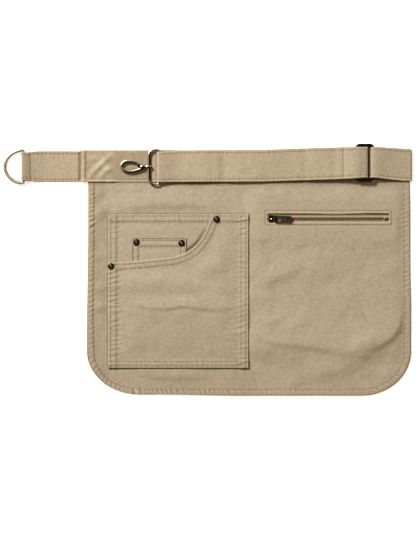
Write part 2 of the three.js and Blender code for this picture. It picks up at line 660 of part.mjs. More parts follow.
function makeHook() {
  const wire = new THREE.Shape().absarc(0, 0, HOOK_WIRE, 0, 2 * Math.PI, false);
  const path = new THREE.CatmullRomCurve3(CLAW.map((point) => new THREE.Vector3(point.x, point.y, 0)));
  const claw = new THREE.ExtrudeGeometry(wire, { steps: 26, extrudePath: path, curveSegments: 4 });
  const shoulder = rod(SHOULDER.radius, 2 * SHOULDER.half, 16).rotateX(HALF_TURN);
  const neckEnd = -BOSS_HALF - GAP;
  const neckStart = SHOULDER.x + SHOULDER.radius - NECK_OVERLAP;
  const neck = rod(NECK_RADIUS, neckEnd - neckStart, 12).rotateZ(HALF_TURN);
  const post = rod(POST_RADIUS, POST_HEAD_X - neckStart, 12).rotateZ(HALF_TURN);
  const head = rod(HEAD_RADIUS, HEAD_LENGTH, 12).rotateZ(HALF_TURN);
  const slot = slab(rectangle(GATE_SLOT), -GATE_HALF - GAP, GATE_HALF + GAP);
  const pin = rod(GATE_PIN, 2 * (SHOULDER.half - PIN_INSET), 10).rotateX(HALF_TURN);
  const body = join(
    claw,
    shoulder.translate(SHOULDER.x, 0, 0),
    neck.translate((neckStart + neckEnd) / 2, 0, 0),
    post.translate((neckStart + POST_HEAD_X) / 2, 0, 0),
    head.translate(POST_HEAD_X - HEAD_LENGTH / 2, 0, 0),
  );
  return join(cut(body, slot), pin.translate(GATE_PIVOT.x, GATE_PIVOT.y, 0));
}

place('hook', makeHook(), agedBrass).position.set(EYE_SIDE_X, SWIVEL_Y, EYE_Z);

// Gate: a small three-cornered lever on the shoulder's pin, closing under the hook's nose
function makeGate() {
  const outline = new THREE.Shape([
    new THREE.Vector2(-6.1, -0.9),
    new THREE.Vector2(-6.1, 1.4),
    new THREE.Vector2(-8.7, 3.7),
    new THREE.Vector2(-13.9, 2.7),
    new THREE.Vector2(-13.9, 1.3),
    new THREE.Vector2(-9.2, -1.4),
    new THREE.Vector2(-7, -1.6),
  ]);
  const bore = new THREE.Path();
  bore.absarc(GATE_PIVOT.x, GATE_PIVOT.y, GATE_PIN + GAP, 0, 2 * Math.PI, true);
  outline.holes.push(bore);
  return weld(slab(outline, -GATE_HALF, GATE_HALF, 5));
}

place('hook_gate', makeGate(), agedBrass).position.set(EYE_SIDE_X, SWIVEL_Y, EYE_Z);

// Belt slider: a flat frame with three bars
function roundedBox(box, corner) {
  const outline = new THREE.Shape();
  outline.moveTo(box.left + corner, box.bottom);
  outline.lineTo(box.right - corner, box.bottom);
  outline.absarc(box.right - corner, box.bottom + corner, corner, -HALF_TURN, 0, false);
  outline.lineTo(box.right, box.top - corner);
  outline.absarc(box.right - corner, box.top - corner, corner, 0, HALF_TURN, false);
  outline.lineTo(box.left + corner, box.top);
  outline.absarc(box.left + corner, box.top - corner, corner, HALF_TURN, 2 * HALF_TURN, false);
  outline.lineTo(box.left, box.bottom + corner);
  outline.absarc(box.left + corner, box.bottom + corner, corner, 2 * HALF_TURN, 3 * HALF_TURN, false);
  return outline;
}

function makeSlider() {
  const frame = { left: SLIDER_LEFT, right: SLIDER_RIGHT, bottom: SLIDER_BOTTOM, top: SLIDER_TOP };
  const outline = roundedBox(frame, SLIDER_CORNER);
  const slots = [
    [SLIDER_LEFT + SLIDER_BAR, SLIDER_CENTRE_BAR - SLIDER_BAR / 2],
    [SLIDER_CENTRE_BAR + SLIDER_BAR / 2, SLIDER_RIGHT - SLIDER_BAR],
  ];
  for (const [left, right] of slots) {
    const slot = { left, right, bottom: SLIDER_BOTTOM + SLIDER_SIDE, top: SLIDER_TOP - SLIDER_SIDE };
    outline.holes.push(roundedBox(slot, SLIDER_SLOT_CORNER));
  }
  return weld(slab(outline, BAR_FOOT, BAR_FOOT + SLIDER_THICKNESS, 4));
}

place('belt_slider', makeSlider(), agedBrass);

// Zip: two tapes under the slot, a row of teeth between them, a slider with its bail, a pull and a stop
const TAPE_FOOT = BAG_LIFT;
const TAPE_HEAD = TAPE_FOOT + TAPE_CLOTH;
const makeTape = (bottom, top) => block(TAPES.left, TAPES.right, bottom, top, TAPE_FOOT, TAPE_HEAD);
place('zip_tape_upper', makeTape(CHAIN.top + GAP, TAPES.top), tapeCloth);
place('zip_tape_lower', makeTape(TAPES.bottom, CHAIN.bottom - GAP), tapeCloth);

function makeChain() {
  const profile = new THREE.Shape();
  profile.moveTo(CHAIN.left, CHAIN_FOOT);
  profile.lineTo(CHAIN.left, CHAIN_ROOT);
  for (let tooth = CHAIN.left + FIRST_TOOTH; tooth + TOOTH_LENGTH < CHAIN.right; tooth += TOOTH_PITCH) {
    profile.lineTo(tooth, CHAIN_ROOT);
    profile.lineTo(tooth + TOOTH_TAPER, CHAIN_HEAD);
    profile.lineTo(tooth + TOOTH_LENGTH - TOOTH_TAPER, CHAIN_HEAD);
    profile.lineTo(tooth + TOOTH_LENGTH, CHAIN_ROOT);
  }
  profile.lineTo(CHAIN.right, CHAIN_ROOT);
  profile.lineTo(CHAIN.right, CHAIN_FOOT);
  const strip = slab(profile, CHAIN.bottom, CHAIN.top);
  return weld(strip.applyMatrix4(new THREE.Matrix4().makeBasis(AXIS.x, AXIS.z, AXIS.y)));
}

place('zip_chain', makeChain(), agedBrass);
const stop = block(STOP.left, STOP.right, CHAIN.bottom, CHAIN.top, CHAIN_FOOT, CHAIN_HEAD);
place('zip_end_stop', stop, agedBrass);

// The slider's body is grooved by a keel between the tapes and carries an arched bail for the pull.
const ZIP_BODY = { left: 76.2, right: 86, bottom: CHAIN_MIDDLE - 3.7, top: CHAIN_MIDDLE + 3.7 };
const ZIP_BODY_CORNER = 2;
const ZIP_BODY_FOOT = TAPE_HEAD + GAP;
const ZIP_BODY_HEAD = ZIP_BODY_FOOT + 2;
const ZIP_BODY_MIDDLE = (ZIP_BODY_FOOT + ZIP_BODY_HEAD) / 2;
const KEEL_LEFT = 77;
const BAIL = { left: 77.6, right: 85.8, half: 0.8, post: 1.2 };
const BAIL_FOOT = ZIP_BODY_HEAD + 2.4;
const BAIL_HEAD = BAIL_FOOT + 1;
const PULL_AXIS = { x: 83.3, z: ZIP_BODY_HEAD + 1.2 };
const PULL_HALF = 0.65;
const PULL_TILT = THREE.MathUtils.degToRad(2.8);
const PULL_PLATE = { left: -0.7, right: 21.8, bottom: -4.4, top: 4.4 };
const PULL_EYE = { left: 0.7, right: 8.2, bottom: -2.5, top: 2.5 };
const PULL_HOLE = { left: 14.6, right: 17.4, bottom: -2, top: 2 };
const PULL_CORNER = 0.6;
const PULL_HOLE_CORNER = 0.8;

function makeZipSlider() {
  const body = slab(roundedBox(ZIP_BODY, ZIP_BODY_CORNER), ZIP_BODY_FOOT, ZIP_BODY_HEAD, 4);
  const keelSides = [CHAIN.bottom + GAP, CHAIN.top - GAP];
  const keel = block(KEEL_LEFT, ZIP_BODY.right, ...keelSides, CHAIN_FOOT, ZIP_BODY_MIDDLE);
  const sides = [CHAIN_MIDDLE - BAIL.half, CHAIN_MIDDLE + BAIL.half];
  const leftPost = block(BAIL.left, BAIL.left + BAIL.post, ...sides, ZIP_BODY_MIDDLE, BAIL_HEAD);
  const rightPost = block(BAIL.right - BAIL.post, BAIL.right, ...sides, ZIP_BODY_MIDDLE, BAIL_HEAD);
  const top = block(BAIL.left, BAIL.right, ...sides, BAIL_FOOT, BAIL_HEAD);
  return join(body, keel, leftPost, rightPost, top);
}

function makeZipPull() {
  const plate = roundedBox(PULL_PLATE, PULL_CORNER);
  plate.holes.push(roundedBox(PULL_EYE, PULL_HOLE_CORNER));
  plate.holes.push(roundedBox(PULL_HOLE, PULL_HOLE_CORNER));
  return weld(slab(plate, -PULL_HALF, PULL_HALF, 3));
}

place('zip_slider', makeZipSlider(), agedBrass);
const pull = place('zip_pull', makeZipPull(), agedBrass);
pull.position.set(PULL_AXIS.x, CHAIN_MIDDLE, PULL_AXIS.z);
pull.rotation.y = PULL_TILT;

export default group;
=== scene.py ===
import math
from collections import namedtuple

import bpy
import numpy as np
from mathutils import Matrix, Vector


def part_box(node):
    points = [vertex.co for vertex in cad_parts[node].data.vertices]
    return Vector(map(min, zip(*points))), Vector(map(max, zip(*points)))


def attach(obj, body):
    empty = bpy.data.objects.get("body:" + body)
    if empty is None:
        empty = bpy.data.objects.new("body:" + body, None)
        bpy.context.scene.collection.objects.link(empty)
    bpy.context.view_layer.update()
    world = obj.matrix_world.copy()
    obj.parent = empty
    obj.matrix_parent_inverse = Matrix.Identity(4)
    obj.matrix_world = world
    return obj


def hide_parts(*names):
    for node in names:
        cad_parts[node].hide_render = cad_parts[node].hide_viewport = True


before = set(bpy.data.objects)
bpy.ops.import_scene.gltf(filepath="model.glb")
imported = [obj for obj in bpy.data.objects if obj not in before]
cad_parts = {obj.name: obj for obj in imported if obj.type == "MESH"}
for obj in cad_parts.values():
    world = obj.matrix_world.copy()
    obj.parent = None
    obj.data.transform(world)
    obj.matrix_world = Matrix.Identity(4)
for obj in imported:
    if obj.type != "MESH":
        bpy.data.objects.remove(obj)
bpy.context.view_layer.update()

# Panel
# The apron itself is one piece of washed cotton twill with round lower corners. Its sides and bottom
# are turned under and sewn, its top goes up into the waistband and a slot is cut in it for the zip.
# Lengths are millimetres here, and put_in_scene() turns them into metres.
MM = 0.001
FLOOR_GAP = 0.02
Box = namedtuple("Box", "left right bottom top")


def node_box(node):
    low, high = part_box(node)
    return np.array(low) / MM, np.array(high) / MM


def lattice_noise(x, y, size, seed):
    """Smooth random heights from -1 to 1, with bumps about `size` across."""
    cells = 97
    table = np.random.default_rng(seed).uniform(-1, 1, (cells, cells))
    u = np.asarray(x) / size
    v = np.asarray(y) / size
    column = np.floor(u).astype(int)
    row = np.floor(v).astype(int)
    across = u - column
    along = v - row
    across = across * across * (3 - 2 * across)
    along = along * along * (3 - 2 * along)

    def corner(right, up):
        return table[(row + up) % cells, (column + right) % cells]

    low = corner(0, 0) + across * (corner(1, 0) - corner(0, 0))
    high = corner(0, 1) + across * (corner(1, 1) - corner(0, 1))
    return low + along * (high - low)


def ease(start, end, value):
    share = np.clip((value - start) / (end - start), 0, 1)
    return share * share * (3 - 2 * share)


def bell(away, width):
    """1 in the middle, falling off over `width` to both sides."""
    return np.exp(-((away / width) ** 2))


def travel(line):
    """How far along a line each of its points is."""
    return np.concatenate([[0], np.cumsum(np.linalg.norm(np.diff(line, axis=0), axis=1))])


def follow(x, y, path):
    """Distance from each point to a path, signed by its side, and how far along the path that is."""
    path = np.asarray(path, float)
    best = np.full(np.shape(x), np.inf)
    side = np.zeros(np.shape(x))
    place = np.zeros(np.shape(x))
    travelled = 0.0
    for start, end in zip(path[:-1], path[1:]):
        step = end - start
        length = math.hypot(*step)
        if length == 0:
            continue
        to_x = x - start[0]
        to_y = y - start[1]
        share = np.clip((to_x * step[0] + to_y * step[1]) / length**2, 0, 1)
        distance = np.hypot(to_x - share * step[0], to_y - share * step[1])
        nearer = distance < best
        best = np.where(nearer, distance, best)
        side = np.where(nearer, np.sign(step[0] * to_y - step[1] * to_x), side)
        place = np.where(nearer, travelled + share * length, place)
        travelled += length
    return best * np.where(side == 0, 1, side), place


def hermite(t, start, end, leaving, arriving):
    """A cubic between two points that have the given tangents."""
    return (
        (2 * t**3 - 3 * t**2 + 1) * start
        + (t**3 - 2 * t**2 + t) * leaving
        + (3 * t**2 - 2 * t**3) * end
        + (t**3 - t**2) * arriving
    )


def curve_through(points, spacing):
    """A smooth line through a few points, with a point about every `spacing`."""
    points = np.asarray(points, float)
    before = np.vstack([2 * points[0] - points[1], points[:-1]])
    after = np.vstack([points[1:], 2 * points[-1] - points[-2]])
    tangents = (after - before) / 2
    line = [points[0]]
    for i in range(len(points) - 1):
        count = max(1, round(math.dist(points[i], points[i + 1]) / spacing))
        for k in range(1, count + 1):
            line.append(hermite(k / count, points[i], points[i + 1], tangents[i], tangents[i + 1]))
    return np.array(line)


def fold(x, y, points, height, upper, lower):
    """A soft fold along a line: `upper` and `lower` are how wide its two flanks are."""
    path = curve_through(points, 4)
    away, place = follow(x, y, path)
    ends = np.sin(np.pi * np.clip(place / travel(path)[-1], 0.02, 0.98)) ** 0.6
    return height * ends * bell(away, np.where(away > 0, upper, lower))


def folds(x, y, lines):
    """Several folds together: each line gives its points, its height and its two flanks."""
    return sum(fold(x, y, *line) for line in lines)


def pucker(x, y, path, seed, ripple, depth=0.0, wave=6.0, reach=5.0, slant=0.2):
    """A sewn line: a narrow groove with small ripples drawn up on both sides of it."""
    away, place = follow(x, y, path)
    wander = lattice_noise(place, place * 0 + seed, 17, seed)
    swell = 0.6 + 0.4 * lattice_noise(place, place * 0 + seed, 11, seed + 1)
    beat = np.pi * (place + slant * away) / wave + 1.6 * wander
    bulges = np.abs(np.sin(beat)) ** 0.8 - 0.66
    return 1.7 * ripple * swell * bulges * bell(away, reach) - depth * bell(away, 1.1)


def put_in_scene(name, vertices, faces, finish):
    mesh = bpy.data.meshes.new(name)
    mesh.from_pydata((np.asarray(vertices) * MM).tolist(), [], faces)
    mesh.update()
    mesh.polygons.foreach_set("use_smooth", [True] * len(mesh.polygons))
    mesh.materials.append(finish)
    piece = bpy.data.objects.new(name, mesh)
    bpy.context.scene.collection.objects.link(piece)
    return piece


def mark(piece, tones):
    """Gives each point a tone for its material, mostly painted highlights and painted shade."""
    attribute = piece.data.attributes.new("shade", "FLOAT", "POINT")
    attribute.data.foreach_set("value", np.asarray(tones, np.float32))


def lay_cloth(name, middle, thickness, shade, finish, opening=None):
    """A closed wall of cloth about a grid of points. `opening` is the grid window left out of it."""
    thin_edge = 0.6
    rows, columns = middle.shape[:2]
    normal = np.cross(np.gradient(middle, axis=1), np.gradient(middle, axis=0))
    normal /= np.linalg.norm(normal, axis=2, keepdims=True) + 1e-12
    wall = np.full((rows, columns), float(thickness))
    wall[[0, -1], :] *= thin_edge
    wall[:, [0, -1]] *= thin_edge
    offset = normal * wall[..., None] / 2
    vertices = np.concatenate([(middle + offset).reshape(-1, 3), (middle - offset).reshape(-1, 3)])
    number = np.arange(rows * columns).reshape(rows, columns)
    solid = np.ones((rows - 1, columns - 1), bool)
    rim = [number[0, :], number[:, -1], number[-1, ::-1], number[::-1, 0]]
    if opening:
        top, bottom, left, right = opening
        solid[top:bottom, left:right] = False
        rim += [
            number[top, left:right + 1][::-1],
            number[top:bottom + 1, right][::-1],
            number[bottom, left:right + 1],
            number[top:bottom + 1, left],
        ]
    a, b = number[:-1, :-1][solid], number[:-1, 1:][solid]
    c, d = number[1:, 1:][solid], number[1:, :-1][solid]
    layer = rows * columns
    front = np.stack([a, b, c, d], axis=1)
    back = np.stack([d, c, b, a], axis=1) + layer
    edges = [np.stack([run[1:], run[:-1], run[:-1] + layer, run[1:] + layer], axis=1) for run in rim]
    faces = np.concatenate([front, back, *edges])
    used = np.unique(faces)
    renumber = np.zeros(2 * layer, int)
    renumber[used] = np.arange(len(used))
    piece = put_in_scene(name, vertices[used], renumber[faces].tolist(), finish)
    mark(piece, np.concatenate([shade.reshape(-1), shade.reshape(-1)])[used])
    return piece


class Finish:
    """A socket of a material. Sums on it add Math nodes, and node() adds any other node."""

    def __init__(self, tree, socket=None):
        self.tree = tree
        self.socket = socket

    def node(self, kind, settings, inputs, output=0):
        made = self.tree.nodes.new("ShaderNode" + kind)
        for name, value in settings.items():
            setattr(made, name, value)
        feed(made, inputs)
        return Finish(self.tree, made.outputs[output])

    def math(self, operation, second=0.0):
        return self.node("Math", {"operation": operation}, {0: self, 1: second})

    def __add__(self, other):
        return self.math("ADD", other)

    __radd__ = __add__

    def __sub__(self, other):
        return self.math("SUBTRACT", other)

    def __mul__(self, other):
        return self.math("MULTIPLY", other)

    def sine(self):
        return self.math("SINE")

    def mix(self, first, second):
        sockets = {"Factor": self, 6: first, 7: second}
        return self.node("Mix", {"data_type": "RGBA", "clamp_factor": True}, sockets, 2)

    def noise(self, scale, detail, roughness=0.5):
        sockets = {"Vector": self, "Scale": scale, "Detail": detail, "Roughness": roughness}
        return self.node("TexNoise", {}, sockets)

    def stretched(self, scale):
        return self.node("Mapping", {}, {"Vector": self, "Scale": scale})

    def part(self, axis):
        return self.node("SeparateXYZ", {}, {"Vector": self}, axis)

    def shade(self):
        return self.node("Attribute", {"attribute_name": "shade"}, {}, 2)

    def bump(self, strength, distance):
        return self.node("Bump", {}, {"Strength": strength, "Distance": distance, "Height": self})


def feed(node, inputs):
    """Sets a node's inputs, each to a value or to another node's socket."""
    for name, value in inputs.items():
        if isinstance(value, Finish):
            value.tree.links.new(value.socket, node.inputs[name])
        else:
            node.inputs[name].default_value = value


def new_material(name):
    """A material, the place on its piece that the finish is worked out from, and its shader."""
    material = bpy.data.materials.new(name)
    material.use_nodes = True
    tree = material.node_tree
    place = Finish(tree).node("TexCoord", {}, {}, "Object")
    return material, place, tree.nodes["Principled BSDF"]


def tint(colour, red, green, blue):
    """A colour with its channels scaled."""
    return [min(1, channel * part) for channel, part in zip(colour, (red, green, blue))] + [1]


def twill_cloth(name, colour):
    """Washed twill: steep diagonal ribs, slubs, a dusty bloom, painted highlights and painted shade."""
    rib = 0.95 * MM
    steepness = 0.55
    material, place, shader = new_material(name)
    slant = place.part("X") + place.part("Y") * steepness
    ribs = (slant * (2 * math.pi / rib) + place.noise(900.0, 2.0) * 2.6).sine() * 0.5 + 0.5
    warp = place.stretched((210, 800, 500)).noise(1.0, 2.0)
    weft = place.stretched((800, 260, 500)).noise(1.0, 2.0)
    yarn = (warp + weft) * 0.5
    slub = place.noise(230.0, 3.0, 0.6)
    bloom = place.noise(14.0, 4.0)
    shade = place.shade()
    tone = (ribs - 0.5) * 0.12 + (yarn - 0.5) * 1.15 + (slub - 0.5) * 0.30 + (bloom - 0.5) * 0.2
    # Painted highlights where the shade tone is above 0, painted shade towards dark brown below 0.
    tone = tone + shade * 0.6
    shown = (tone + 0.5).mix(tint(colour, 0.60, 0.56, 0.47), tint(colour, 1.38, 1.40, 1.44))
    painted_shade_brown = tint(colour, 0.24, 0.155, 0.065)
    feed(shader, {
        "Base Color": (shade * -0.8).mix(shown, painted_shade_brown),
        "Roughness": 0.86 + (yarn - 0.5) * 0.2,
        "Specular IOR Level": 0.18,
        "Sheen Weight": 0.05,
        "Sheen Roughness": 0.5,
        "Normal": (ribs * 0.6 + yarn * 2.0 + slub * 0.8).bump(0.45, 0.0006),
    })
    return material


PANEL_CLOTH = 1.0
PANEL_TOP = 131.0
PANEL_BOTTOM = -157.6
PANEL_LEFT = -149.5
PANEL_RIGHT = 252.4
PANEL_LIFT = 0.3
HEM_LEFT = -149.9
HEM_RIGHT = 253.6
HEM_STITCH = 7.6
LEFT_CORNER = (65.0, 54.0)
RIGHT_CORNER = (62.0, 55.6)
WINDOW = Box(75.2, 226.0, 59.2, 69.6)
WINDOW_STITCH = 3.6
ZIP_LIFT = Box(62.0, 234.0, 44.0, 84.0)
BAG_LIFT = Box(66.0, 230.0, -97.0, 92.0)
SLIDER_DIP = Box(75, 88, 57, 67)
POCKET = Box(-124.7, 50.9, -123.1, 69.4)
POCKET_SEAT = Box(-122.0, 48.0, -120.0, 67.0)
BAND_BOTTOM = 109.4
TWILL_COLOUR = (0.384, 0.3165, 0.2287)
WRINKLE = 2.0
PANEL_FOLDS = (
    ([(243, -50), (238, -68), (229, -83), (215, -92), (198, -98.5)], 1.5, 5, 24),
    ([(226, -86), (206, -96), (187, -106), (168, -117), (150, -127), (128, -137)], 1.5, 13, 26),
    ([(48, -78), (66, -84), (82, -89), (100, -91.5), (118, -93), (138, -95.5), (156, -98.5),
      (174, -104)], 1.5, 34, 6),
    ([(50, -92), (84, -100), (104, -104), (124, -103)], 0.8, 12, 14),
    ([(64, -20), (86, -9.2), (101, -2.5), (118, 7)], 1.0, 18, 7),
    ([(66, -68), (83, -63.7), (96, -57)], 0.5, 10, 4),
    ([(96, -73), (112, -68), (132, -60)], 0.5, 12, 5),
    ([(56, 38), (66, 40), (80, 42)], 0.5, 9, 4),
    ([(-112, 80), (-60, 83), (-20, 83), (20, 80)], 1.3, 18, 7),
    ([(-146, 62), (-138, 70), (-124, 78)], 0.9, 7, 7),
    ([(-147, 88), (-140, 92), (-128, 100)], 0.6, 6, 6),
    ([(-147, -47), (-138, -49), (-127, -48)], 0.7, 7, 4),
    ([(-147, -20), (-137, -24), (-127, -22)], 0.5, 7, 4),
    ([(-146, 12), (-136, 16), (-127, 14)], 0.4, 7, 4),
    ([(-90, -131), (-40, -134), (10, -133)], 0.6, 8, 4),
    ([(57, 10), (64, 2), (75, -2)], 0.45, 8, 5),
    ([(57, -30), (66, -36), (80, -37)], 0.4, 9, 5),
)


def left_edge(y):
    straight = PANEL_LEFT - 1.5 * ease(60, -80, y)
    turn = np.clip((PANEL_BOTTOM + LEFT_CORNER[1] - y) / LEFT_CORNER[1], 0, 1)
    return straight + LEFT_CORNER[0] * (1 - np.sqrt(1 - turn**2))


def right_edge(y):
    straight = PANEL_RIGHT + 0.7 * ease(110, 70, y) + 1.1 * ease(10, -50, y)
    turn = np.clip((PANEL_BOTTOM + RIGHT_CORNER[1] - y) / RIGHT_CORNER[1], 0, 1)
    return straight - RIGHT_CORNER[0] * (1 - np.sqrt(1 - turn**2))


def hem_path(inset):
    """The panel's outline from the top of its left side round to the top of its right side."""
    sweep = np.linspace(0, math.pi / 2, 16)
    low = PANEL_BOTTOM + inset
    left = HEM_LEFT + inset
    right = HEM_RIGHT - inset
    across, up = LEFT_CORNER[0] - inset, LEFT_CORNER[1] - inset
    corner = [(left + across - across * math.cos(a), low + up - up * math.sin(a)) for a in sweep]
    path = [(left + 0.4, 112.0), (left, 40.0), (left - 1.0, -60.0)] + corner
    across, up = RIGHT_CORNER[0] - inset, RIGHT_CORNER[1] - inset
    corner = [(right - across + across * math.sin(a), low + up - up * math.cos(a)) for a in sweep]
    return np.array(path + corner + [(right + 0.4, -60.0), (right - 0.6, 40.0), (right - 1.2, 112.0)])


def steps(stops):
    """Grid lines from (place, pitch) stops: each stretch is cut at the pitch of its first stop."""
    lines = []
    for (start, pitch), (end, _) in zip(stops[:-1], stops[1:]):
        count = max(1, round(abs(end - start) / pitch))
        lines.extend(np.linspace(start, end, count, endpoint=False))
    return np.array(lines + [stops[-1][0]])


def beyond(x, y, box):
    """How far outside a box each point is."""
    across = np.maximum(box.left - x, x - box.right)
    upward = np.maximum(box.bottom - y, y - box.top)
    return np.hypot(np.maximum(across, 0), np.maximum(upward, 0))


def cover(x, y, box, fade):
    """1 over a box, easing to 0 over `fade` outside it."""
    return 1 - ease(0, fade, beyond(x, y, box))


def panel_lie(x, y):
    """How the panel's underside lies: up over the zip and its bag, and up into the waistband."""
    over_zip = 1.1 * cover(x, y, ZIP_LIFT, 20) + 1.3 * cover(x, y, BAG_LIFT, 24)
    return np.maximum(over_zip, 1.3 * ease(90, 113, y))


corner_rows = PANEL_BOTTOM + LEFT_CORNER[1] * (1 - np.sin(np.linspace(0, math.pi / 2, 46)))
rows = steps([(PANEL_TOP, 2.2), (76, 0.9), (WINDOW.top, 1.24), (WINDOW.bottom, 0.9), (51, 2.1),
              (corner_rows[0], 2.1)])
rows = np.concatenate([rows, corner_rows[1:]])
columns = steps([
    (PANEL_LEFT, 0.9), (-136, 1.6), (-128, 0.9), (-122, 2.2), (48, 0.9), (55, 2.1), (68, 0.95),
    (WINDOW.left, 1.0), (80, 2.1), (222, 1.0), (WINDOW.right, 0.95), (235, 1.6), (239, 0.9),
    (PANEL_RIGHT, 1.0),
])
window_rows = [int(np.argmin(abs(rows - side))) for side in (WINDOW.top, WINDOW.bottom)]
window_columns = [int(np.argmin(abs(columns - side))) for side in (WINDOW.left, WINDOW.right)]
share = (columns - columns[0]) / (columns[-1] - columns[0])
y = np.repeat(rows[:, None], len(columns), axis=1)
x = left_edge(y) + (right_edge(y) - left_edge(y)) * share[None, :]
y = y + (1 - ease(-70, 40, x)) * 1.7 * ease(-60, PANEL_BOTTOM, y)
slack = 0.7 * bell(x - 207, 20) - 1.0 * bell(x - 158, 24)
y = y + slack * bell(y - WINDOW.top, 4.5)

from_edge = np.abs(follow(x, y, hem_path(0))[0])
from_window = beyond(x, y, WINDOW)
in_band = ease(100, 110, y)
calm = (1 - 0.85 * cover(x, y, POCKET_SEAT, 6)) * (1 - 0.75 * cover(x, y, ZIP_LIFT, 10)) * (1 - in_band)
wrinkles = folds(x, y, PANEL_FOLDS)
wrinkles += 0.34 * lattice_noise(x + 0.8 * y, y - 0.5 * x, 31, 3)
wrinkles += 0.20 * lattice_noise(x + 0.5 * y, y - 0.4 * x, 13, 4)
wrinkles += 0.055 * lattice_noise(x, y, 4.6, 5)
height = PANEL_CLOTH / 2 + PANEL_LIFT
height = height + panel_lie(x, y) * (0.25 + 0.75 * (ease(0, 18, from_edge) * (1 - in_band) + in_band))
height += WRINKLE * wrinkles * calm * (0.25 + 0.75 * ease(3, 16, from_edge))
doubled = 0.75 * (1 - ease(HEM_STITCH - 1.0, HEM_STITCH + 2.0, from_edge))
rolled = -0.5 * (1 - ease(0, 2.2, from_edge))
groove = -0.5 * bell(from_edge - HEM_STITCH, 1.0)
ropes = pucker(x, y, hem_path(HEM_STITCH - 2.5), 21, 1.1, reach=4.4, slant=0.4)
ropes *= (1.2 - 0.5 * ease(-60, 60, x)) * ease(0.3, 3.0, from_edge) * (1 - in_band)
height += (doubled + rolled + groove) * (1 - in_band) + ropes
lip = 0.7 * bell(from_window - 1.2, 1.1) - 0.4 * bell(from_window, 0.6)
lip -= 0.45 * bell(from_window - WINDOW_STITCH, 0.8)
height += lip - 1.5 * cover(x, y, SLIDER_DIP, 4) * bell(from_window, 2.0)
height = np.maximum(height, PANEL_CLOTH / 2 + FLOOR_GAP)

# Painted shade in the hem's stitch groove; paler pucker tops (wash wear and painted light), painted shade
# in the dips.
panel_shade = -0.3 * bell(from_edge - HEM_STITCH, 0.9) * (1 - in_band)
panel_shade += 0.5 * ropes * (from_edge < 9) - 0.10 * (1 - ease(-134, -118, x))
# The left strip and the cloth below the pocket are a little darker, the cloth above it a little paler.
panel_shade -= 0.06 * (1 - ease(-132, -118, y)) * (1 - ease(40, 80, x))
panel_shade += 0.07 * ease(68, 80, y) * (1 - ease(40, 90, x)) * ease(-140, -120, x)
# Painted shade along the outer edges, most on the right and bottom, which face away from the lamp.
panel_shade -= (0.35 + 0.2 * ease(-120, 100, x - y)) * (1 - ease(0, 1.5, from_edge))
# A painted highlight on the zip slot's lip, and painted shade in its stitch groove.
panel_shade += 0.30 * bell(from_window - 1.2, 0.9) - 0.22 * bell(from_window - WINDOW_STITCH, 0.8)
# Painted shadow round the pocket's edges, under the waistband's left part and under the belt.
panel_shade -= 0.3 * bell(beyond(x, y, POCKET), 1.4) * ease(-126, -120, y)
left_part = 1 - ease(-70, -30, x)
panel_shade -= 0.4 * bell(y - BAND_BOTTOM + 1.0, 1.4) * left_part
under_belt = (1 - left_part) * (1 - 0.7 * ease(150, 200, x))
raised = ease(-56, -44, x) * (1 - ease(0, 55, x))
below_band = np.maximum(BAND_BOTTOM - y, 0)
panel_shade -= (0.5 + 0.45 * raised) * bell(below_band, 2.6 + 1.7 * raised) * under_belt
panel_grid = np.stack([x, y, height], axis=2)
twill = twill_cloth("washed_twill", TWILL_COLOUR)
opening = (*window_rows, *window_columns)
panel = lay_cloth("panel_cloth", panel_grid, PANEL_CLOTH, panel_shade, twill, opening)
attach(panel, "apron")
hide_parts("panel")

# Panel stitching
# One row of lockstitch in cotton thread holds the turned hem. Each stitch is a short spindle of thread
# that lies in the groove it has pulled into the cloth.
# The thread is darker than the real thread, so that its colour also paints the shade of the stitch holes.
THREAD_AND_HOLE_SHADE = (0.23, 0.16, 0.085)
THREAD_LIFT = 0.10


def capped_rings(first, rings, sides):
    """Faces of a closed skin over rings of points that has one point at each end."""
    last = first + rings * sides + 1
    faces = []
    for k in range(sides):
        after = (k + 1) % sides
        faces.append((first, first + 1 + after, first + 1 + k))
        for low in range(first + 1, last - sides, sides):
            faces.append((low + k, low + after, low + sides + after, low + sides + k))
        faces.append((last, last - sides + k, last - sides + after))
    return faces


def stitches_along(line, first, pitch, stitch):
    """The two ends of each stitch of a row along a line."""
    line = np.asarray(line, float)
    place = travel(line)
    ends = []
    for begin in np.arange(first, place[-1] - stitch, pitch):
        ends.append([[np.interp(at, place, part) for part in line.T] for at in (begin, begin + stitch)])
    return ends


def put_stitches(name, ends, thick):
    """Small closed spindles of thread between pairs of points."""
    sides = 6
    sections = ((0.04, 0.45), (0.28, 0.95), (0.72, 0.95), (0.96, 0.45))
    vertices = []
    faces = []
    for start, end in np.array(ends):
        run = end - start
        across = np.cross(run, (0, 0, 1))
        across /= np.linalg.norm(across)
        lift = np.cross(across, run)
        lift /= np.linalg.norm(lift)
        faces.extend(capped_rings(len(vertices), len(sections), sides))
        vertices.append(start)
        for place, size in sections:
            for angle in 2 * math.pi * np.arange(sides) / sides:
                round_it = math.cos(angle) * across + math.sin(angle) * lift
                vertices.append(start + place * run + thick * size * round_it)
        vertices.append(end)
    piece = put_in_scene(name, vertices, faces, thread)
    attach(piece, "apron")


def height_over(grid, x, y):
    """Height of a cloth's middle above a point, from the nearest point of its grid."""
    near = np.hypot(grid[..., 0] - x, grid[..., 1] - y)
    return float(grid[..., 2].reshape(-1)[np.argmin(near)])


def sew(name, paths, grid, cloth, pitch=3.5, stitch=2.2, thick=0.35):
    """Rows of stitches along paths, lying on the cloth that has the given grid and thickness."""
    ends = []
    for path in paths:
        for pair in stitches_along(path, 0.6, pitch, stitch):
            ends.append([(x, y, height_over(grid, x, y) + cloth / 2 + THREAD_LIFT) for x, y in pair])
    put_stitches(name, ends, thick)


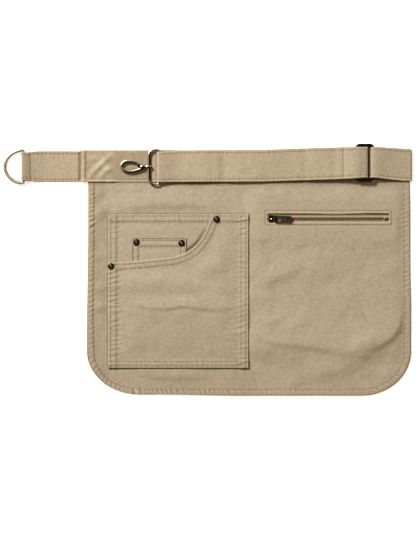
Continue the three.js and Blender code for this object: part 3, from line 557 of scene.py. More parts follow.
thread, place, shader = new_material("cotton_thread")
dark_thread = tint(THREAD_AND_HOLE_SHADE, 0.72, 0.72, 0.72)
pale_thread = tint(THREAD_AND_HOLE_SHADE, 1.2, 1.2, 1.2)
feed(shader, {
    "Base Color": place.noise(420.0, 3.0).mix(dark_thread, pale_thread),
    "Roughness": 0.7,
    "Specular IOR Level": 0.25,
    "Sheen Weight": 0.2,
})
sew("panel_stitching", [hem_path(HEM_STITCH)], panel_grid, PANEL_CLOTH)
left, right = WINDOW.left - WINDOW_STITCH, WINDOW.right + WINDOW_STITCH
low, high = WINDOW.bottom - WINDOW_STITCH, WINDOW.top + WINDOW_STITCH
window_row = [(left, low), (right, low), (right, high), (left, high), (left, low)]
sew("zip_stitching", [window_row], panel_grid, PANEL_CLOTH, pitch=2.6, stitch=2.0, thick=0.26)

# Waistband
# A strip of the same twill folded over the panel's top edge and sewn along its bottom and its ends.
# Its left end holds the tab and its right end the belt, and the sewing has puckered it.
BAND_CLOTH = 0.9
BAND_COLOUR = (0.390, 0.3175, 0.2255)
band_low, band_high = node_box("waistband")
BAND_FRONT = band_high[2] - 0.5
BAND_BACK = 0.5
END_SEAM = [(-152.4, 109), (-152.2, 149)]
LOW_SEAM = [(-150, 112.4), (252, 112.4)]
BAND_FOLDS = (
    ([(-151, 112), (-143, 121), (-134, 130), (-125, 139), (-116, 146)], 1.4, 4, 3),
    ([(-150, 141), (-143, 138), (-136, 142)], 0.8, 4, 3),
    ([(-137, 112), (-131, 119), (-124, 125), (-118, 127)], 1.2, 4, 3),
    ([(-134, 134), (-127, 128), (-122, 119)], 0.9, 4, 3),
    ([(-124, 146), (-116, 139), (-110, 137)], 0.8, 5, 4),
    ([(-112, 112), (-106, 118), (-98, 120)], 0.7, 5, 4),
)
BELT_LOW_EDGE = ((-62, -53, -30, 65, 140, 168, 186, 209, 222, 234, 246, 254),
                 (108.5, 109.0, 109.2, 109.6, 111.8, 112.7, 113.8, 114.4, 112.9, 111.6, 110.6, 110.4))
EYE_SHADOW_X = -72.2
EYE_HOLLOW = -67.5
fold_radius = (BAND_FRONT - BAND_BACK) / 2
band_x = steps([(band_low[0], 0.9), (-144, 1.3), (-104, 4.0), (-76, 1.0), (-60, 4.0), (240, 2.0),
                (band_high[0], 1.0)])
front_y = steps([(band_low[1], 0.7), (113, 1.5), (band_high[1] - fold_radius, 1.0)])
turn = np.linspace(math.pi / 2, -math.pi / 2, 8)
fold_y = front_y[-1] + fold_radius * np.cos(turn)
fold_z = BAND_BACK + fold_radius * (1 + np.sin(turn))
back_y = np.linspace(front_y[-1], band_low[1], 12)
ahead, behind = len(front_y) - 1, len(back_y) - 1
section_y = np.concatenate([front_y[:-1], fold_y, back_y[1:]])
section_z = np.concatenate([np.full(ahead, BAND_FRONT), fold_z, np.full(behind, BAND_BACK)])
on_front = np.concatenate([np.ones(ahead), np.linspace(1, 0, len(fold_y)), np.zeros(behind)])
x, y = np.meshgrid(band_x, section_y)
front = np.repeat(on_front[:, None], len(band_x), axis=1)
from_end = x - band_low[0]
from_low = y - band_low[1]
relief = pucker(x, y, END_SEAM, 41, 0.22, depth=0.35, wave=7, reach=9)
relief += pucker(x, y, LOW_SEAM, 42, 0.2, depth=0.28, wave=5.6, reach=4)
relief += folds(x, y, BAND_FOLDS)
relief += 0.3 * lattice_noise(x, y, 12, 43) + 0.14 * lattice_noise(x, y, 5, 44)
relief += 0.6 * bell(from_low - 1.4, 1.2) * front
relief += 0.5 * bell(from_end - 3.4, 2.4) - 0.5 * (1 - ease(0, 1.4, from_end))
relief[:, band_x < -100] *= 1.3
covered = ease(-121, -107, x)
below_belt = np.maximum(np.interp(x, *BELT_LOW_EDGE) - y, 0)
# Painted light and shade on the folds and puckers, painted shade at the tucked left end, and all of the
# band a little darker.
band_shade = 0.2 * relief * front * (1 - covered) - 0.6 * (1 - ease(0.2, 1.4, from_end)) - 0.18
# Painted shadow under the belt.
band_shade -= 0.75 * bell(below_belt, 2.4) * ease(-75, -55, x) * front
# A painted highlight near the end, painted shade in the end seam's groove, a painted highlight along the
# bottom edge.
band_shade += 0.14 * bell(from_end - 3.2, 2.2) * front - 0.3 * bell(from_end - 6.7, 0.9) * front
band_shade += 0.7 * bell(from_low - 1.0, 0.9) * front * (1 - ease(-70, -50, x))
# A painted lighter patch in the hollow inside the hook's eye, and a painted shadow beside the eye's wire.
eye_wire_shadow = bell(x - EYE_SHADOW_X, 1.2) * ease(108, 114, y) * (1 - ease(140, 146, y))
band_shade += (0.5 * bell(x - EYE_HOLLOW, 4.5) - 0.9 * eye_wire_shadow) * front
z = section_z[:, None] + relief * front * (1 - covered) - 0.3 * front * covered
band_grid = np.stack([x, y, np.maximum(z, BAND_CLOTH / 2 + FLOOR_GAP)], axis=2)
band_twill = twill_cloth("band_twill", BAND_COLOUR)
waistband = lay_cloth("waistband_cloth", band_grid[::-1], BAND_CLOTH, band_shade[::-1], band_twill)
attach(waistband, "apron")
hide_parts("waistband")
sew("waistband_stitching", [END_SEAM, LOW_SEAM], band_grid[: len(front_y)], BAND_CLOTH)

# Pocket facing
# A piece of twill sewn to the panel behind the patch pocket's scooped mouth. Two rows of stitching run
# along its top and its left side, and its lower part is hidden inside the pocket.
FACING_CLOTH = 0.8
FACING = Box(POCKET.left, 18.0, -24.0, POCKET.top)
SEAM_ROWS = (2.6, 9.4)
SIDE_ROWS = (3.6, 10.4)
LAYER_GAP = 0.1
DEEPEST = -0.3
FACING_FOLDS = (
    ([(-112, 49), (-96, 53), (-70, 50), (-44, 51)], 0.5, 5, 9),
    ([(-42, 56), (-30, 48), (-20, 36)], 0.55, 4, 7),
    ([(-30, 57), (-16, 52), (-6, 44)], 0.45, 4, 6),
    ([(-112, 36), (-106, 26), (-100, 18)], 0.4, 4, 6),
)
MOUTH_CORNER = [(-46, 16.4), (-29.6, 21.2), (-14.2, 32.8), (-3.4, 49.5)]


def panel_seat(x, y):
    """Height of the panel's top face where it lies calm under the pocket."""
    return 1.4 + panel_lie(x, y)


def band_of_sewing(away, rows, rise=0.8):
    """Cloth turned under along an edge: a raised band, and a groove along each row of stitches."""
    height = -0.25 * (1 - ease(0, 1.2, away)) + rise * (1 - ease(rows[-1], rows[-1] + 2.6, away))
    return height - 0.4 * sum(bell(away - row, 0.95) for row in rows)


def painted_seam_shade(away, rows):
    """Painted shade in the stitch grooves and along the cut edge, with a painted highlight just inside it.
    """
    tone = 0.3 * bell(away - 1.3, 0.6) - 0.5 * (1 - ease(0, 0.9, away))
    return tone - 0.24 * sum(bell(away - row, 0.85) for row in rows)


def level(line, start, end):
    """A straight seam across the apron."""
    return [(start, line), (end, line)]


def upright(line, start, end):
    """A straight seam down the apron."""
    return [(line, start), (line, end)]


def ripples_of(x, y, seams, seed, ripple, **shape):
    """What sewing has drawn up along several seams."""
    return sum(pucker(x, y, seam, seed + i, ripple, **shape) for i, seam in enumerate(seams))


facing_x = steps([(FACING.left, 0.8), (-112, 1.7), (FACING.right, 1.0)])
facing_y = steps([(FACING.top, 0.8), (57, 1.6), (FACING.bottom, 1.0)])
x, y = np.meshgrid(facing_x, facing_y)
facing_rows = [level(FACING.top - row, -124, 6) for row in SEAM_ROWS]
facing_rows += [upright(FACING.left + row, 69, 6) for row in SIDE_ROWS]
ripples = ripples_of(x, y, facing_rows, 50, 0.36)
relief = band_of_sewing(FACING.top - y, SEAM_ROWS) + band_of_sewing(x - FACING.left, SIDE_ROWS) + ripples
relief += folds(x, y, FACING_FOLDS)
relief += 0.2 * lattice_noise(x, y, 17, 61) + 0.07 * lattice_noise(x, y, 5, 62)
height = panel_seat(x, y) + FACING_CLOTH / 2 + LAYER_GAP + np.maximum(relief, DEEPEST)
facing_grid = np.stack([x, y, height], axis=2)
# Painted shade in stitch grooves and at cut edges with a painted highlight inside; paler pucker tops (wash
# wear and painted light), painted shade in the dips.
facing_shade = painted_seam_shade(FACING.top - y, SEAM_ROWS) + painted_seam_shade(x - FACING.left, SIDE_ROWS) + 0.6 * ripples
# Painted shadow under the pocket mouth's edge.
facing_shade -= 0.9 * bell(follow(x, y, MOUTH_CORNER)[0], 2.0) * bell(x + 20, 16)
facing = lay_cloth("pocket_facing_cloth", facing_grid, FACING_CLOTH, facing_shade, twill)
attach(facing, "apron")
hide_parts("pocket_facing")
sew("pocket_facing_stitching", facing_rows, facing_grid, FACING_CLOTH)

# Coin pocket
# A small patch sewn to the facing, hemmed along its top with two rows of stitching and sewn down its
# sides. The pocket front hides its lower half.
COIN_CLOTH = 0.7
COIN = Box(-94.3, -26.6, -14.0, 38.8)
COIN_ROWS = (1.6, 7.4)
COIN_SEAT = 1.17
coin_x = steps([(COIN.left, 0.8), (-83, 1.4), (-34, 0.8), (COIN.right, 0.7)])
coin_y = steps([(COIN.top, 0.8), (27, 1.4), (COIN.bottom, 1.0)])
x, y = np.meshgrid(coin_x, coin_y)
coin_rows = [level(COIN.top - row, COIN.left + 1, COIN.right - 1) for row in SEAM_ROWS]
coin_rows += [upright(COIN.left + row, COIN.top - 11, 8) for row in COIN_ROWS]
coin_rows += [upright(COIN.right - row, COIN.top - 11, 14) for row in COIN_ROWS]
from_top, from_left, from_right = COIN.top - y, x - COIN.left, COIN.right - x
below_hem = ease(-9, -12, -from_top)
ripples = ripples_of(x, y, coin_rows, 70, 0.2, reach=4)
relief = band_of_sewing(from_top, SEAM_ROWS) + ripples
relief += (band_of_sewing(from_left, COIN_ROWS) + band_of_sewing(from_right, COIN_ROWS)) * below_hem
relief += 0.5 * cover(x, y, Box(-80, -42, 0, 26), 16)
relief += fold(x, y, [(-84, 22), (-66, 20), (-40, 25)], 0.35, 4, 5)
height = panel_seat(x, y) + COIN_SEAT + COIN_CLOTH / 2 + np.maximum(relief, DEEPEST)
coin_grid = np.stack([x, y, height], axis=2)
# Painted shade in stitch grooves and at cut edges with a painted highlight inside; paler pucker tops (wash
# wear and painted light), painted shade in the dips.
coin_shade = painted_seam_shade(from_top, SEAM_ROWS) + 0.6 * ripples
coin_shade += (painted_seam_shade(from_left, COIN_ROWS) + painted_seam_shade(from_right, COIN_ROWS)) * below_hem
# The painted shade is deepened by half, and more painted shade lies along the top and left edges.
coin_shade = np.minimum(coin_shade, 1.5 * coin_shade)
coin_shade -= 0.6 * (1 - ease(0.4, 1.8, from_top)) + 0.5 * (1 - ease(0.4, 1.6, from_left))
coin = lay_cloth("coin_pocket_cloth", coin_grid, COIN_CLOTH, coin_shade, twill)
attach(coin, "apron")
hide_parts("coin_pocket")
sew("coin_pocket_stitching", coin_rows, coin_grid, COIN_CLOTH)

# Pocket front
# The big patch pocket, open along a scooped mouth that runs from its left side up to its top edge. The
# mouth is bound and sewn twice, the other edges are turned under and sewn twice to the panel.
FRONT_CLOTH = 0.9
MOUTH_ROWS = (3.3, 9.2)
LOW_ROWS = (2.6, 8.2)
UPPER, MIDDLE, LOWER = 15, 100, 14
FRONT_FOLDS = (
    ([(-98, -42.5), (-82, -45.5), (-53, -47.5), (-28, -44.5), (-6, -48.5), (17, -48.5), (42, -45.5)],
     1.6, 22, 2.8),
    ([(-27, -36), (-27.5, -42), (-28, -50)], 0.5, 2.5, 4),
    ([(-16, 24), (-3, 11), (8, 2), (28, -2)], 1.1, 8, 3.5),
    ([(-24, 10), (-8, 3), (6, -10)], 0.9, 7, 3.5),
    ([(-100, -10), (-76, -15), (-50, -12)], 0.5, 10, 6),
    ([(6, -20), (20, -26), (38, -24)], 0.45, 6, 5),
    ([(-40, -8), (-30, -20), (-10, -24)], 0.5, 8, 5),
    ([(-112, -70), (-95, -74), (-76, -72)], 0.4, 6, 5),
    ([(10, -78), (24, -84), (40, -82)], 0.4, 6, 5),
)


def bezier(points, count):
    share = np.linspace(0, 1, count)[:, None]
    points = [np.asarray(point, float)[None, :] for point in points]
    while len(points) > 1:
        points = [a + share * (b - a) for a, b in zip(points[:-1], points[1:])]
    return points[0]


mouth = np.vstack([
    bezier([(POCKET.left, 8.4), (-85, 10.3), (-50, 14.8)], 40),
    bezier([(-50, 14.8), (-18, 17), (-2, 40), (4.7, POCKET.top)], 50)[1:],
])
tangent = np.gradient(mouth, axis=0)
tangent /= np.hypot(*tangent.T)[:, None]
into_pocket = np.stack([tangent[:, 1], -tangent[:, 0]], axis=1)
front_top = np.vstack([mouth, [(POCKET.right, POCKET.top)]])
place = travel(front_top)
stations = steps([(0, 0.8), (12, 1.7), (place[-1] - 12, 0.8), (place[-1], 1.0)])
x = np.repeat(np.interp(stations, place, front_top[:, 0])[None, :], UPPER + MIDDLE + LOWER, axis=0)
y = np.zeros_like(x)
y[:UPPER] = np.interp(stations, place, front_top[:, 1]) - 0.85 * np.arange(UPPER)[:, None]
y[-LOWER:] = (POCKET.bottom + np.linspace(12, 0, LOWER))[:, None]
between = np.linspace(0, 1, MIDDLE + 2)[1:-1, None]
y[UPPER:-LOWER] = y[UPPER - 1] + (y[-LOWER] - y[UPPER - 1]) * between
from_mouth = np.abs(follow(x, y, mouth)[0])
from_left, from_right, from_bottom = x - POCKET.left, POCKET.right - x, y - POCKET.bottom
from_top = np.where(x > 4, POCKET.top - y, 40)
edges = ((from_left, SIDE_ROWS), (from_right, SEAM_ROWS), (from_bottom, LOW_ROWS), (from_top, SEAM_ROWS))
mouth_seams = [mouth + row * into_pocket for row in MOUTH_ROWS]
side_seams = [upright(POCKET.left + row, 2, POCKET.bottom + 2) for row in SIDE_ROWS]
side_seams += [upright(POCKET.right - row, 67, POCKET.bottom + 2) for row in SEAM_ROWS]
low_seams = [level(POCKET.bottom + row, -122, 49) for row in LOW_ROWS]
top_seams = [level(POCKET.top - row, 14 - row, 49) for row in SEAM_ROWS]
ripples = ripples_of(x, y, side_seams, 80, 0.55, wave=6.4, reach=7)
ripples = ripples + ripples_of(x, y, low_seams, 84, 0.25, wave=6.4)
ripples = ripples + ripples_of(x, y, mouth_seams, 90, 0.28, wave=5.6)
near_edge = np.minimum(np.minimum(from_left, from_right), np.minimum(from_bottom, from_mouth))
relief = band_of_sewing(from_mouth, MOUTH_ROWS, 0.25) + sum(band_of_sewing(*edge) for edge in edges)
relief += ripples + 1.6 * ease(6, 40, near_edge) + folds(x, y, FRONT_FOLDS)
soft = 0.55 * lattice_noise(x, 1.4 * y, 24, 101) + 0.2 * lattice_noise(x, y, 10, 102)
relief += soft * ease(4, 16, near_edge) + 0.05 * lattice_noise(x, y, 4.4, 103)
over_facing = 0.95 * cover(x, y, Box(-130, 10, -18, 80), 16)
over_coin = 0.75 * cover(x, y, Box(-92, -29, -11, 40), 12)
height = panel_seat(x, y) + FRONT_CLOTH / 2 + LAYER_GAP + over_facing + over_coin + relief
height += 0.75 * (1 - ease(0, 14, from_mouth)) * ease(2, 20, from_left)
front_grid = np.stack([x, y, height], axis=2)
# Painted shade in stitch grooves and at cut edges with a painted highlight inside; paler pucker tops (wash
# wear and painted light), painted shade in the dips.
front_shade = 0.6 * ripples + sum(painted_seam_shade(*edge) for edge in edges)
# Painted shade in the mouth's stitch grooves, a painted highlight along its edge, the upper part painted
# paler than the lower.
front_shade += painted_seam_shade(from_mouth + 3, [row + 3 for row in MOUTH_ROWS])
front_shade += 0.1 * bell(from_mouth, 0.8) + 0.07 * ease(-60, -44, y) - 0.03
pocket_front = lay_cloth("pocket_front_cloth", front_grid, FRONT_CLOTH, front_shade, twill)
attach(pocket_front, "apron")
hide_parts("pocket_front")
front_seams = mouth_seams + side_seams + low_seams + top_seams
sew("pocket_front_stitching", front_seams, front_grid, FRONT_CLOTH)

# Belt
# A twill strap sewn into the waistband's right end and folded forward. It threads over and under the
# slider's bars, runs to the hook's eye, turns back on itself and is sewn round the slider's middle bar.
BELT_CLOTH = 0.9
BELT_EDGE_ROW = 3.7
STRAP_WIDTH = 38.6
FIRST_RUN = 4.6
SECOND_RUN = 5.9
OVER_BAR = 9.1
OVER_FLAP = 10.6
BELT_LOWER_SLACK = 1.1
FLAP_SEAM = 168.6
CROSS_DENTS = ((5, 0.35), (18, 0.5), (120, 0.6), (157, 0.55))
TURN_BACK = 300
END_HIDDEN = 36
END_UNSEWN = 40
EYE_BAR = (-61.2, 6.7)


def turn_points(x, z, radius, start, end, middle, width):
    """Points of a strap's route round a bar."""
    angles = np.radians(np.linspace(start, end, 9))
    return [(x + radius * math.cos(a), z + radius * math.sin(a), middle, width) for a in angles]


def smooth_route(points, spacing):
    """A route through the points that never swings past them."""
    points = np.asarray(points, float)
    place = travel(points[:, :2])
    gaps = np.diff(place)[:, None]
    slopes = np.diff(points, axis=0) / gaps
    before, after = slopes[:-1], slopes[1:]
    same = before * after > 0
    gentle = np.where(same, 2 * before * after / np.where(same, before + after, 1), 0)
    tangents = np.vstack([slopes[:1], gentle, slopes[-1:]])
    wanted = np.linspace(0, place[-1], round(place[-1] / spacing) + 1)
    i = np.clip(np.searchsorted(place, wanted, side="right") - 1, 0, len(gaps) - 1)
    gap = gaps[i]
    t = ((wanted - place[i]) / gap[:, 0])[:, None]
    return hermite(t, points[i], points[i + 1], gap * tangents[i], gap * tangents[i + 1])


def strap_grid(route):
    """A strap's points: rows along its route, columns from its lower edge to its upper edge."""
    x = np.repeat(route[:, :1], len(across), axis=1)
    z = np.repeat(route[:, 1:2], len(across), axis=1)
    return np.stack([x, route[:, 2:3] + route[:, 3:4] * across, z], axis=2)


def edge_waves(s, wave, size, seed):
    """Waves that the sewing has drawn up along both edges of a strap, and each edge's own place."""
    side = np.where(across > 0, 40, 0) + s
    return np.sin(2 * np.pi * s / wave + 3 * lattice_noise(side, side * 0, size, seed)), side


def strap_stitches(name, grid, cloth, spans, edge_row):
    """Stitches along both edges of a strap, over each span of its grid rows."""
    columns = [int(np.argmin(abs(across - sign * (0.5 - edge_row / STRAP_WIDTH)))) for sign in (-1, 1)]
    lift = np.array([0, 0, cloth / 2 + THREAD_LIFT])
    ends = []
    for first, last in spans:
        for column in columns:
            ends += stitches_along(grid[first:last, column] + lift, 0.5, 3.3, 2.5)
    put_stitches(name, ends, 0.3)


def rows_between(route, place, low, high, before, after):
    """First and last grid rows of a strap's stretch between two X places, within two lengths."""
    inside = (route[:, 0] > low) & (route[:, 0] < high) & (place > before) & (place < after)
    found = np.flatnonzero(inside)
    return int(found[0]), int(found[-1])


route = smooth_route([
    (239.2, 1.9, 129.2, 35.6), (246.2, 1.9, 129.2, 35.6), (253.0, 1.9, 129.6, 36.2),
    *turn_points(253.2, 3.25, 1.35, -70, 70, 130.6, 38.2),
    (252.4, FIRST_RUN, 131.2, 39.2), (246, 4.8, 131.4, 39.4), (234, 5.8, 132.2, 39.0),
    (222, 7.2, 133.2, 38.4), (213, 8.6, 134.0, 37.8), (209.5, OVER_BAR, 134.2, 37.4),
    (205.4, OVER_BAR, 134.2, 37.2), (204.4, 8.3, 134.2, 37.2), (203.4, 6.9, 134.2, 37.2),
    (202.2, 5.5, 134.1, 37.2), (200.4, FIRST_RUN, 134.1, 37.2), (180, FIRST_RUN, 133.6, 38.4),
    (65, FIRST_RUN, 130.1, 38.4), (-30, FIRST_RUN, 129.6, 38.4), (-53.2, FIRST_RUN, 128.8, 37.2),
    *turn_points(*EYE_BAR, 2.1, -90, -270, 128.2, 37.0),
    (-53.2, 7.9, 128.8, 37.4), (-41.2, 6.5, 129.2, 38.0), (-30, SECOND_RUN, 129.6, 38.6),
    (65, SECOND_RUN, 130.1, 38.8), (105, 6.0, 131.4, 38.9), (140, 6.8, 132.4, 39.0),
    (160, 7.8, 133.0, 38.9), (168, 8.4, 133.2, 38.7), (175, 9.2, 133.4, 38.5), (181.5, 10.3, 133.6, 38.2),
    (187, OVER_FLAP, 133.8, 37.8), (192.7, 9.9, 134.0, 37.2),
    *turn_points(197.9, 7.5, 1.6, 90, -90, 134.1, 37.2),
    (194.3, 5.9, 134.0, 37.2), (190.1, 7.4, 133.9, 37.2), (187.9, 8.5, 133.8, 37.6),
    (186.3, OVER_BAR, 133.7, 37.6), (182.9, OVER_BAR, 133.7, 37.6), (180.5, 8.2, 133.6, 37.8),
    (175, 6.2, 133.4, 38.0), (169, SECOND_RUN, 133.2, 38.0),
], 1.25)
route[:, 2] -= BELT_LOWER_SLACK / 2
route[:, 3] += BELT_LOWER_SLACK
half_rows = steps([(0, 0.019), (0.06, 0.03), (0.15, 0.05), (0.5, 1)])
across = np.concatenate([-0.5 + half_rows, 0.5 - half_rows[-2::-1]])
belt_grid = strap_grid(route)
x, z = belt_grid[..., 0], belt_grid[..., 2]
along_belt = travel(route[:, :2])
s = np.repeat(along_belt[:, None], len(across), axis=1)
back_over = s > TURN_BACK
top_run = (x > 206) | ((z > SECOND_RUN - 0.3) & back_over & (s < along_belt[-1] - END_HIDDEN))
from_middle = across * route[:, 3:4]
from_side = (0.5 - np.abs(across)) * route[:, 3:4]
waves, side = edge_waves(s, 5.4, 17, 111)
swell = 0.5 + 0.5 * lattice_noise(side, side * 0 + 9, 12, 112)
sewn = 0.26 * swell * waves * np.exp(-np.abs(from_side - BELT_EDGE_ROW) / 3.0)
groove = -0.22 * bell(from_side - BELT_EDGE_ROW, 0.9)
rolled = -0.25 * (1 - ease(0, 1.6, from_side))
rough = 0.6 * lattice_noise(s, 0.4 * from_middle, 20, 113) + 0.15 * lattice_noise(s, from_middle, 8, 114)
rough -= sum(depth * bell(x - dent_x, 4.5) for dent_x, depth in CROSS_DENTS)
outward = np.cross(np.gradient(belt_grid, axis=0), np.gradient(belt_grid, axis=1))
outward /= np.linalg.norm(outward, axis=2, keepdims=True) + 1e-12
faces_up = np.sign(outward[..., 2:3]) * ease(0.2, 0.6, np.abs(outward[..., 2:3]))
belt_relief = (sewn + groove + rolled + rough) * np.where(top_run, 1, 0.3)
flap_seam = bell(x - FLAP_SEAM, 1.0) * top_run
# Painted shade in the stitch grooves and at the flap seam; paler pucker tops (wash wear and painted
# light), painted shade in the dips and dents.
belt_shade = 0.8 * (groove + 0.04) + 0.6 * sewn - 0.45 * flap_seam + 0.1 * rough
# A painted highlight along the lower edge.
belt_shade += 0.7 * bell(from_side - 0.9, 0.8) * (across < 0)
# Painted shadow in the gap by the slider, and painted shade on the right fold.
belt_shade -= 1.0 * ease(198.9, 199.8, x) * (1 - ease(202.8, 203.6, x)) + 0.35 * ease(253.4, 254.4, x)
# A painted highlight beside the flap seam.
belt_shade += 0.20 * bell(x - FLAP_SEAM - 2.6, 1.4) * top_run
belt_grid = belt_grid + outward * faces_up * belt_relief[..., None]
belt_grid[..., 2] -= 0.35 * flap_seam * back_over
belt = lay_cloth("belt_cloth", belt_grid, BELT_CLOTH, belt_shade, band_twill)
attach(belt, "apron")
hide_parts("belt")
second_start = along_belt[np.argmin(route[:, 0])]
back_run = rows_between(route, along_belt, -58, 184, second_start, along_belt[-1] - END_UNSEWN)
right_run = rows_between(route, along_belt, 209, 252, 15, 70)
strap_stitches("belt_stitching", belt_grid, BELT_CLOTH, (back_run, right_run), BELT_EDGE_ROW)

# Left tab
# A short strap held in the waistband's left end. It lies on the floor, goes round the ring's bar and is
# sewn back on itself behind.
TAB_CLOTH = 1.0
TAB_EDGE_ROW = 3.2
TAB_CROSS_ROW = -221.4
TAB_ENTRY = -160.6
TAB_FLOOR = 0.55
RING_BAR = (-230.0, 3.0)
tab_line = smooth_route([
    (-137.3, 1.9, 129.0, 36.0), (-152, 1.9, 129.0, 36.4), (-160, 1.9, 129.0, 37.4),
    (-165, 1.5, 128.8, 38.6), (-177, 0.7, 128.8, 38.8), (-202, 0.7, 128.8, 38.8),
    (-214, 1.95, 128.7, 38.4), (-221, 3.3, 128.6, 36.6),
    *turn_points(*RING_BAR, 2.35, 90, 270, 128.5, 35.4),
    (-224, TAB_FLOOR, 128.5, 36.4), (-217, TAB_FLOOR, 128.5, 36.8),
], 1.0)
tab_grid = strap_grid(tab_line)
x, z = tab_grid[..., 0], tab_grid[..., 2]
along_tab = travel(tab_line[:, :2])
s = np.repeat(along_tab[:, None], len(across), axis=1)
top_face = s < along_tab[np.argmin(tab_line[:, 0])]
from_side = (0.5 - np.abs(across)) * tab_line[:, 3:4]
waves, _ = edge_waves(s, 5.0, 15, 121)
sewn = 0.24 * waves * np.exp(-np.abs(from_side - TAB_EDGE_ROW) / 3.0)
groove = -0.24 * bell(from_side - TAB_EDGE_ROW, 0.9) - 0.3 * bell(x - TAB_CROSS_ROW, 0.9) * top_face
rough = 0.12 * lattice_noise(s, from_side, 13, 122) + 0.05 * lattice_noise(s, from_side, 5, 123)
tab_relief = sewn + groove + rough - 0.25 * (1 - ease(0, 1.6, from_side))
z += tab_relief * top_face * ease(-231, -227, x)
np.maximum(z, TAB_CLOTH / 2 + FLOOR_GAP, out=z)
# Painted shade in the stitch grooves; paler pucker tops (wash wear and painted light), painted shade in
# the dips; the tab a little darker.
tab_shade = 0.9 * (groove + 0.06) + 0.5 * sewn - 0.1
# Painted shade where the tab goes into the waistband, and the end past the cross seam a little darker.
tab_shade -= 0.55 * bell(x - TAB_ENTRY, 1.5) + 0.14 * (1 - ease(-222.5, -220.5, x))
left_tab = lay_cloth("left_tab_cloth", tab_grid, TAB_CLOTH, tab_shade, band_twill)
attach(left_tab, "apron")
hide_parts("left_tab")
tab_run = rows_between(tab_line, along_tab, -220, -161, -1, 96)
strap_stitches("left_tab_stitching", tab_grid, TAB_CLOTH, [tab_run], TAB_EDGE_ROW)
cross_seam = upright(TAB_CROSS_ROW, 111.5, 145.5)
sew("left_tab_cross_stitching", [cross_seam], tab_grid[: tab_run[1] + 4], TAB_CLOTH)

# Rivets
# Four pressed copper-plated rivets hold the pocket corners: a thin flat rim, a narrow groove and a low
# dome with a dimpled middle. The plate is aged dark, and rubbed paler on the dome.
RIVET_COLOUR = (0.022, 0.015, 0.010)
RIVET_WORN = (0.30, 0.215, 0.125)
RIVETS = (
    ("rivet_pocket_left", -120.3, 4.0, front_grid, FRONT_CLOTH),
    ("rivet_coin_left", -88.9, 33.8, coin_grid, COIN_CLOTH),
    ("rivet_coin_right", -32.6, 32.8, coin_grid, COIN_CLOTH),
    ("rivet_pocket_right", 11.2, 62.6, front_grid, FRONT_CLOTH),
)
RIVET_PROFILE = (
    (3.5, -0.5), (4.0, 0.0), (4.15, 0.35), (3.9, 0.75), (3.4, 0.9), (2.9, 0.8), (2.65, 0.75),
    (2.45, 1.2), (2.0, 1.75), (1.3, 2.0), (0.7, 1.95), (0.2, 1.8),
)


def worn_metal(name, colour, worn_and_lit, roughness, tarnish=0.5, edges=3.0):
    """Aged plated metal: dark in its hollows, rubbed bright along its edges, with faint specks."""
    material, place, shader = new_material(name)
    pointed = place.node("NewGeometry", {}, {}, "Pointiness")
    patches = place.noise(260.0, 4.0)
    specks = place.noise(1500.0, 2.0)
    # The shade tone adds a painted highlight on most pieces, and real wear on the rivets' domes.
    wear_and_highlight = (pointed - 0.54) * edges + (patches - 0.5) * tarnish + (specks - 0.5) * 0.3 + place.shade()
    feed(shader, {
        "Base Color": wear_and_highlight.mix([*colour, 1], [*worn_and_lit, 1]),
        "Specular Tint": [*worn_and_lit, 1],
        "Metallic": 1.0,
        "Roughness": roughness + (patches - 0.5) * 0.25,
        "Normal": specks.bump(0.12, 0.0002),
    })
    return material


def spun(profile, sides=28):
    """A turned solid: rings of (radius, height) about a vertical axis, closed at both ends."""
    vertices = [(0, 0, profile[0][1])]
    for radius, height in profile:
        for angle in 2 * math.pi * np.arange(sides) / sides:
            vertices.append((radius * math.cos(angle), radius * math.sin(angle), height))
    vertices.append((0, 0, profile[-1][1]))
    return np.array(vertices), capped_rings(0, len(profile), sides)


copper = worn_metal("rivet_copper", RIVET_COLOUR, RIVET_WORN, roughness=0.3, edges=1.0)
cap, cap_faces = spun(RIVET_PROFILE, 32)
rubbed_dome = 0.6 * (1 - ease(0.9, 2.2, np.hypot(cap[:, 0], cap[:, 1])))
for node, rivet_x, rivet_y, grid, cloth in RIVETS:
    seat = height_over(grid, rivet_x, rivet_y) + cloth / 2
    rivet = put_in_scene(node + "_cap", cap + (rivet_x, rivet_y, seat), cap_faces, copper)
    mark(rivet, rubbed_dome)
    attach(rivet, "apron")
    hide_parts(node)

# D ring
# A loop of brass wire with a straight bar in the tab's fold and a half-round bow. It tips down so that
# the bow's far side lies on the floor.
RING_WIRE = 1.6
RING_WIDTH = 2.05
RING_REACH = 23.6
RING_HALF_HEIGHT = 20.6
RING_MIDDLE_Y = 128.5
PALE_COLOUR = (0.25, 0.198, 0.132)
PALE_WORN_AND_LIT = (0.60, 0.50, 0.37)


def tube(points, radius, closed=True, sides=18, up=(0, 0, 1), depth=1.0):
    """A wire along points that lie nearly in one plane, whose normal is `up`; `depth` flattens it."""
    points = np.asarray(points, float)
    sizes = np.broadcast_to(np.asarray(radius, float), (len(points),))
    if closed:
        tangent = np.roll(points, -1, axis=0) - np.roll(points, 1, axis=0)
    else:
        tangent = np.gradient(points, axis=0)
    tangent /= np.linalg.norm(tangent, axis=1, keepdims=True)
    across = np.cross(tangent, np.asarray(up, float))
    across /= np.linalg.norm(across, axis=1, keepdims=True)
    lift = np.cross(across, tangent) * depth
    angle = np.linspace(0, 2 * math.pi, sides, endpoint=False)
    ring = across[:, None] * np.cos(angle)[None, :, None] + lift[:, None] * np.sin(angle)[None, :, None]
    vertices = (points[:, None] + ring * sizes[:, None, None]).reshape(-1, 3).tolist()
    faces = []
    for i in range(len(points) if closed else len(points) - 1):
        here, there = i * sides, (i + 1) % len(points) * sides
        for k in range(sides):
            after = (k + 1) % sides
            faces.append((here + k, there + k, there + after, here + after))
    if not closed:
        faces.append(tuple(range(sides)))
        faces.append(tuple(range(len(vertices) - 1, len(vertices) - 1 - sides, -1)))
    return vertices, faces


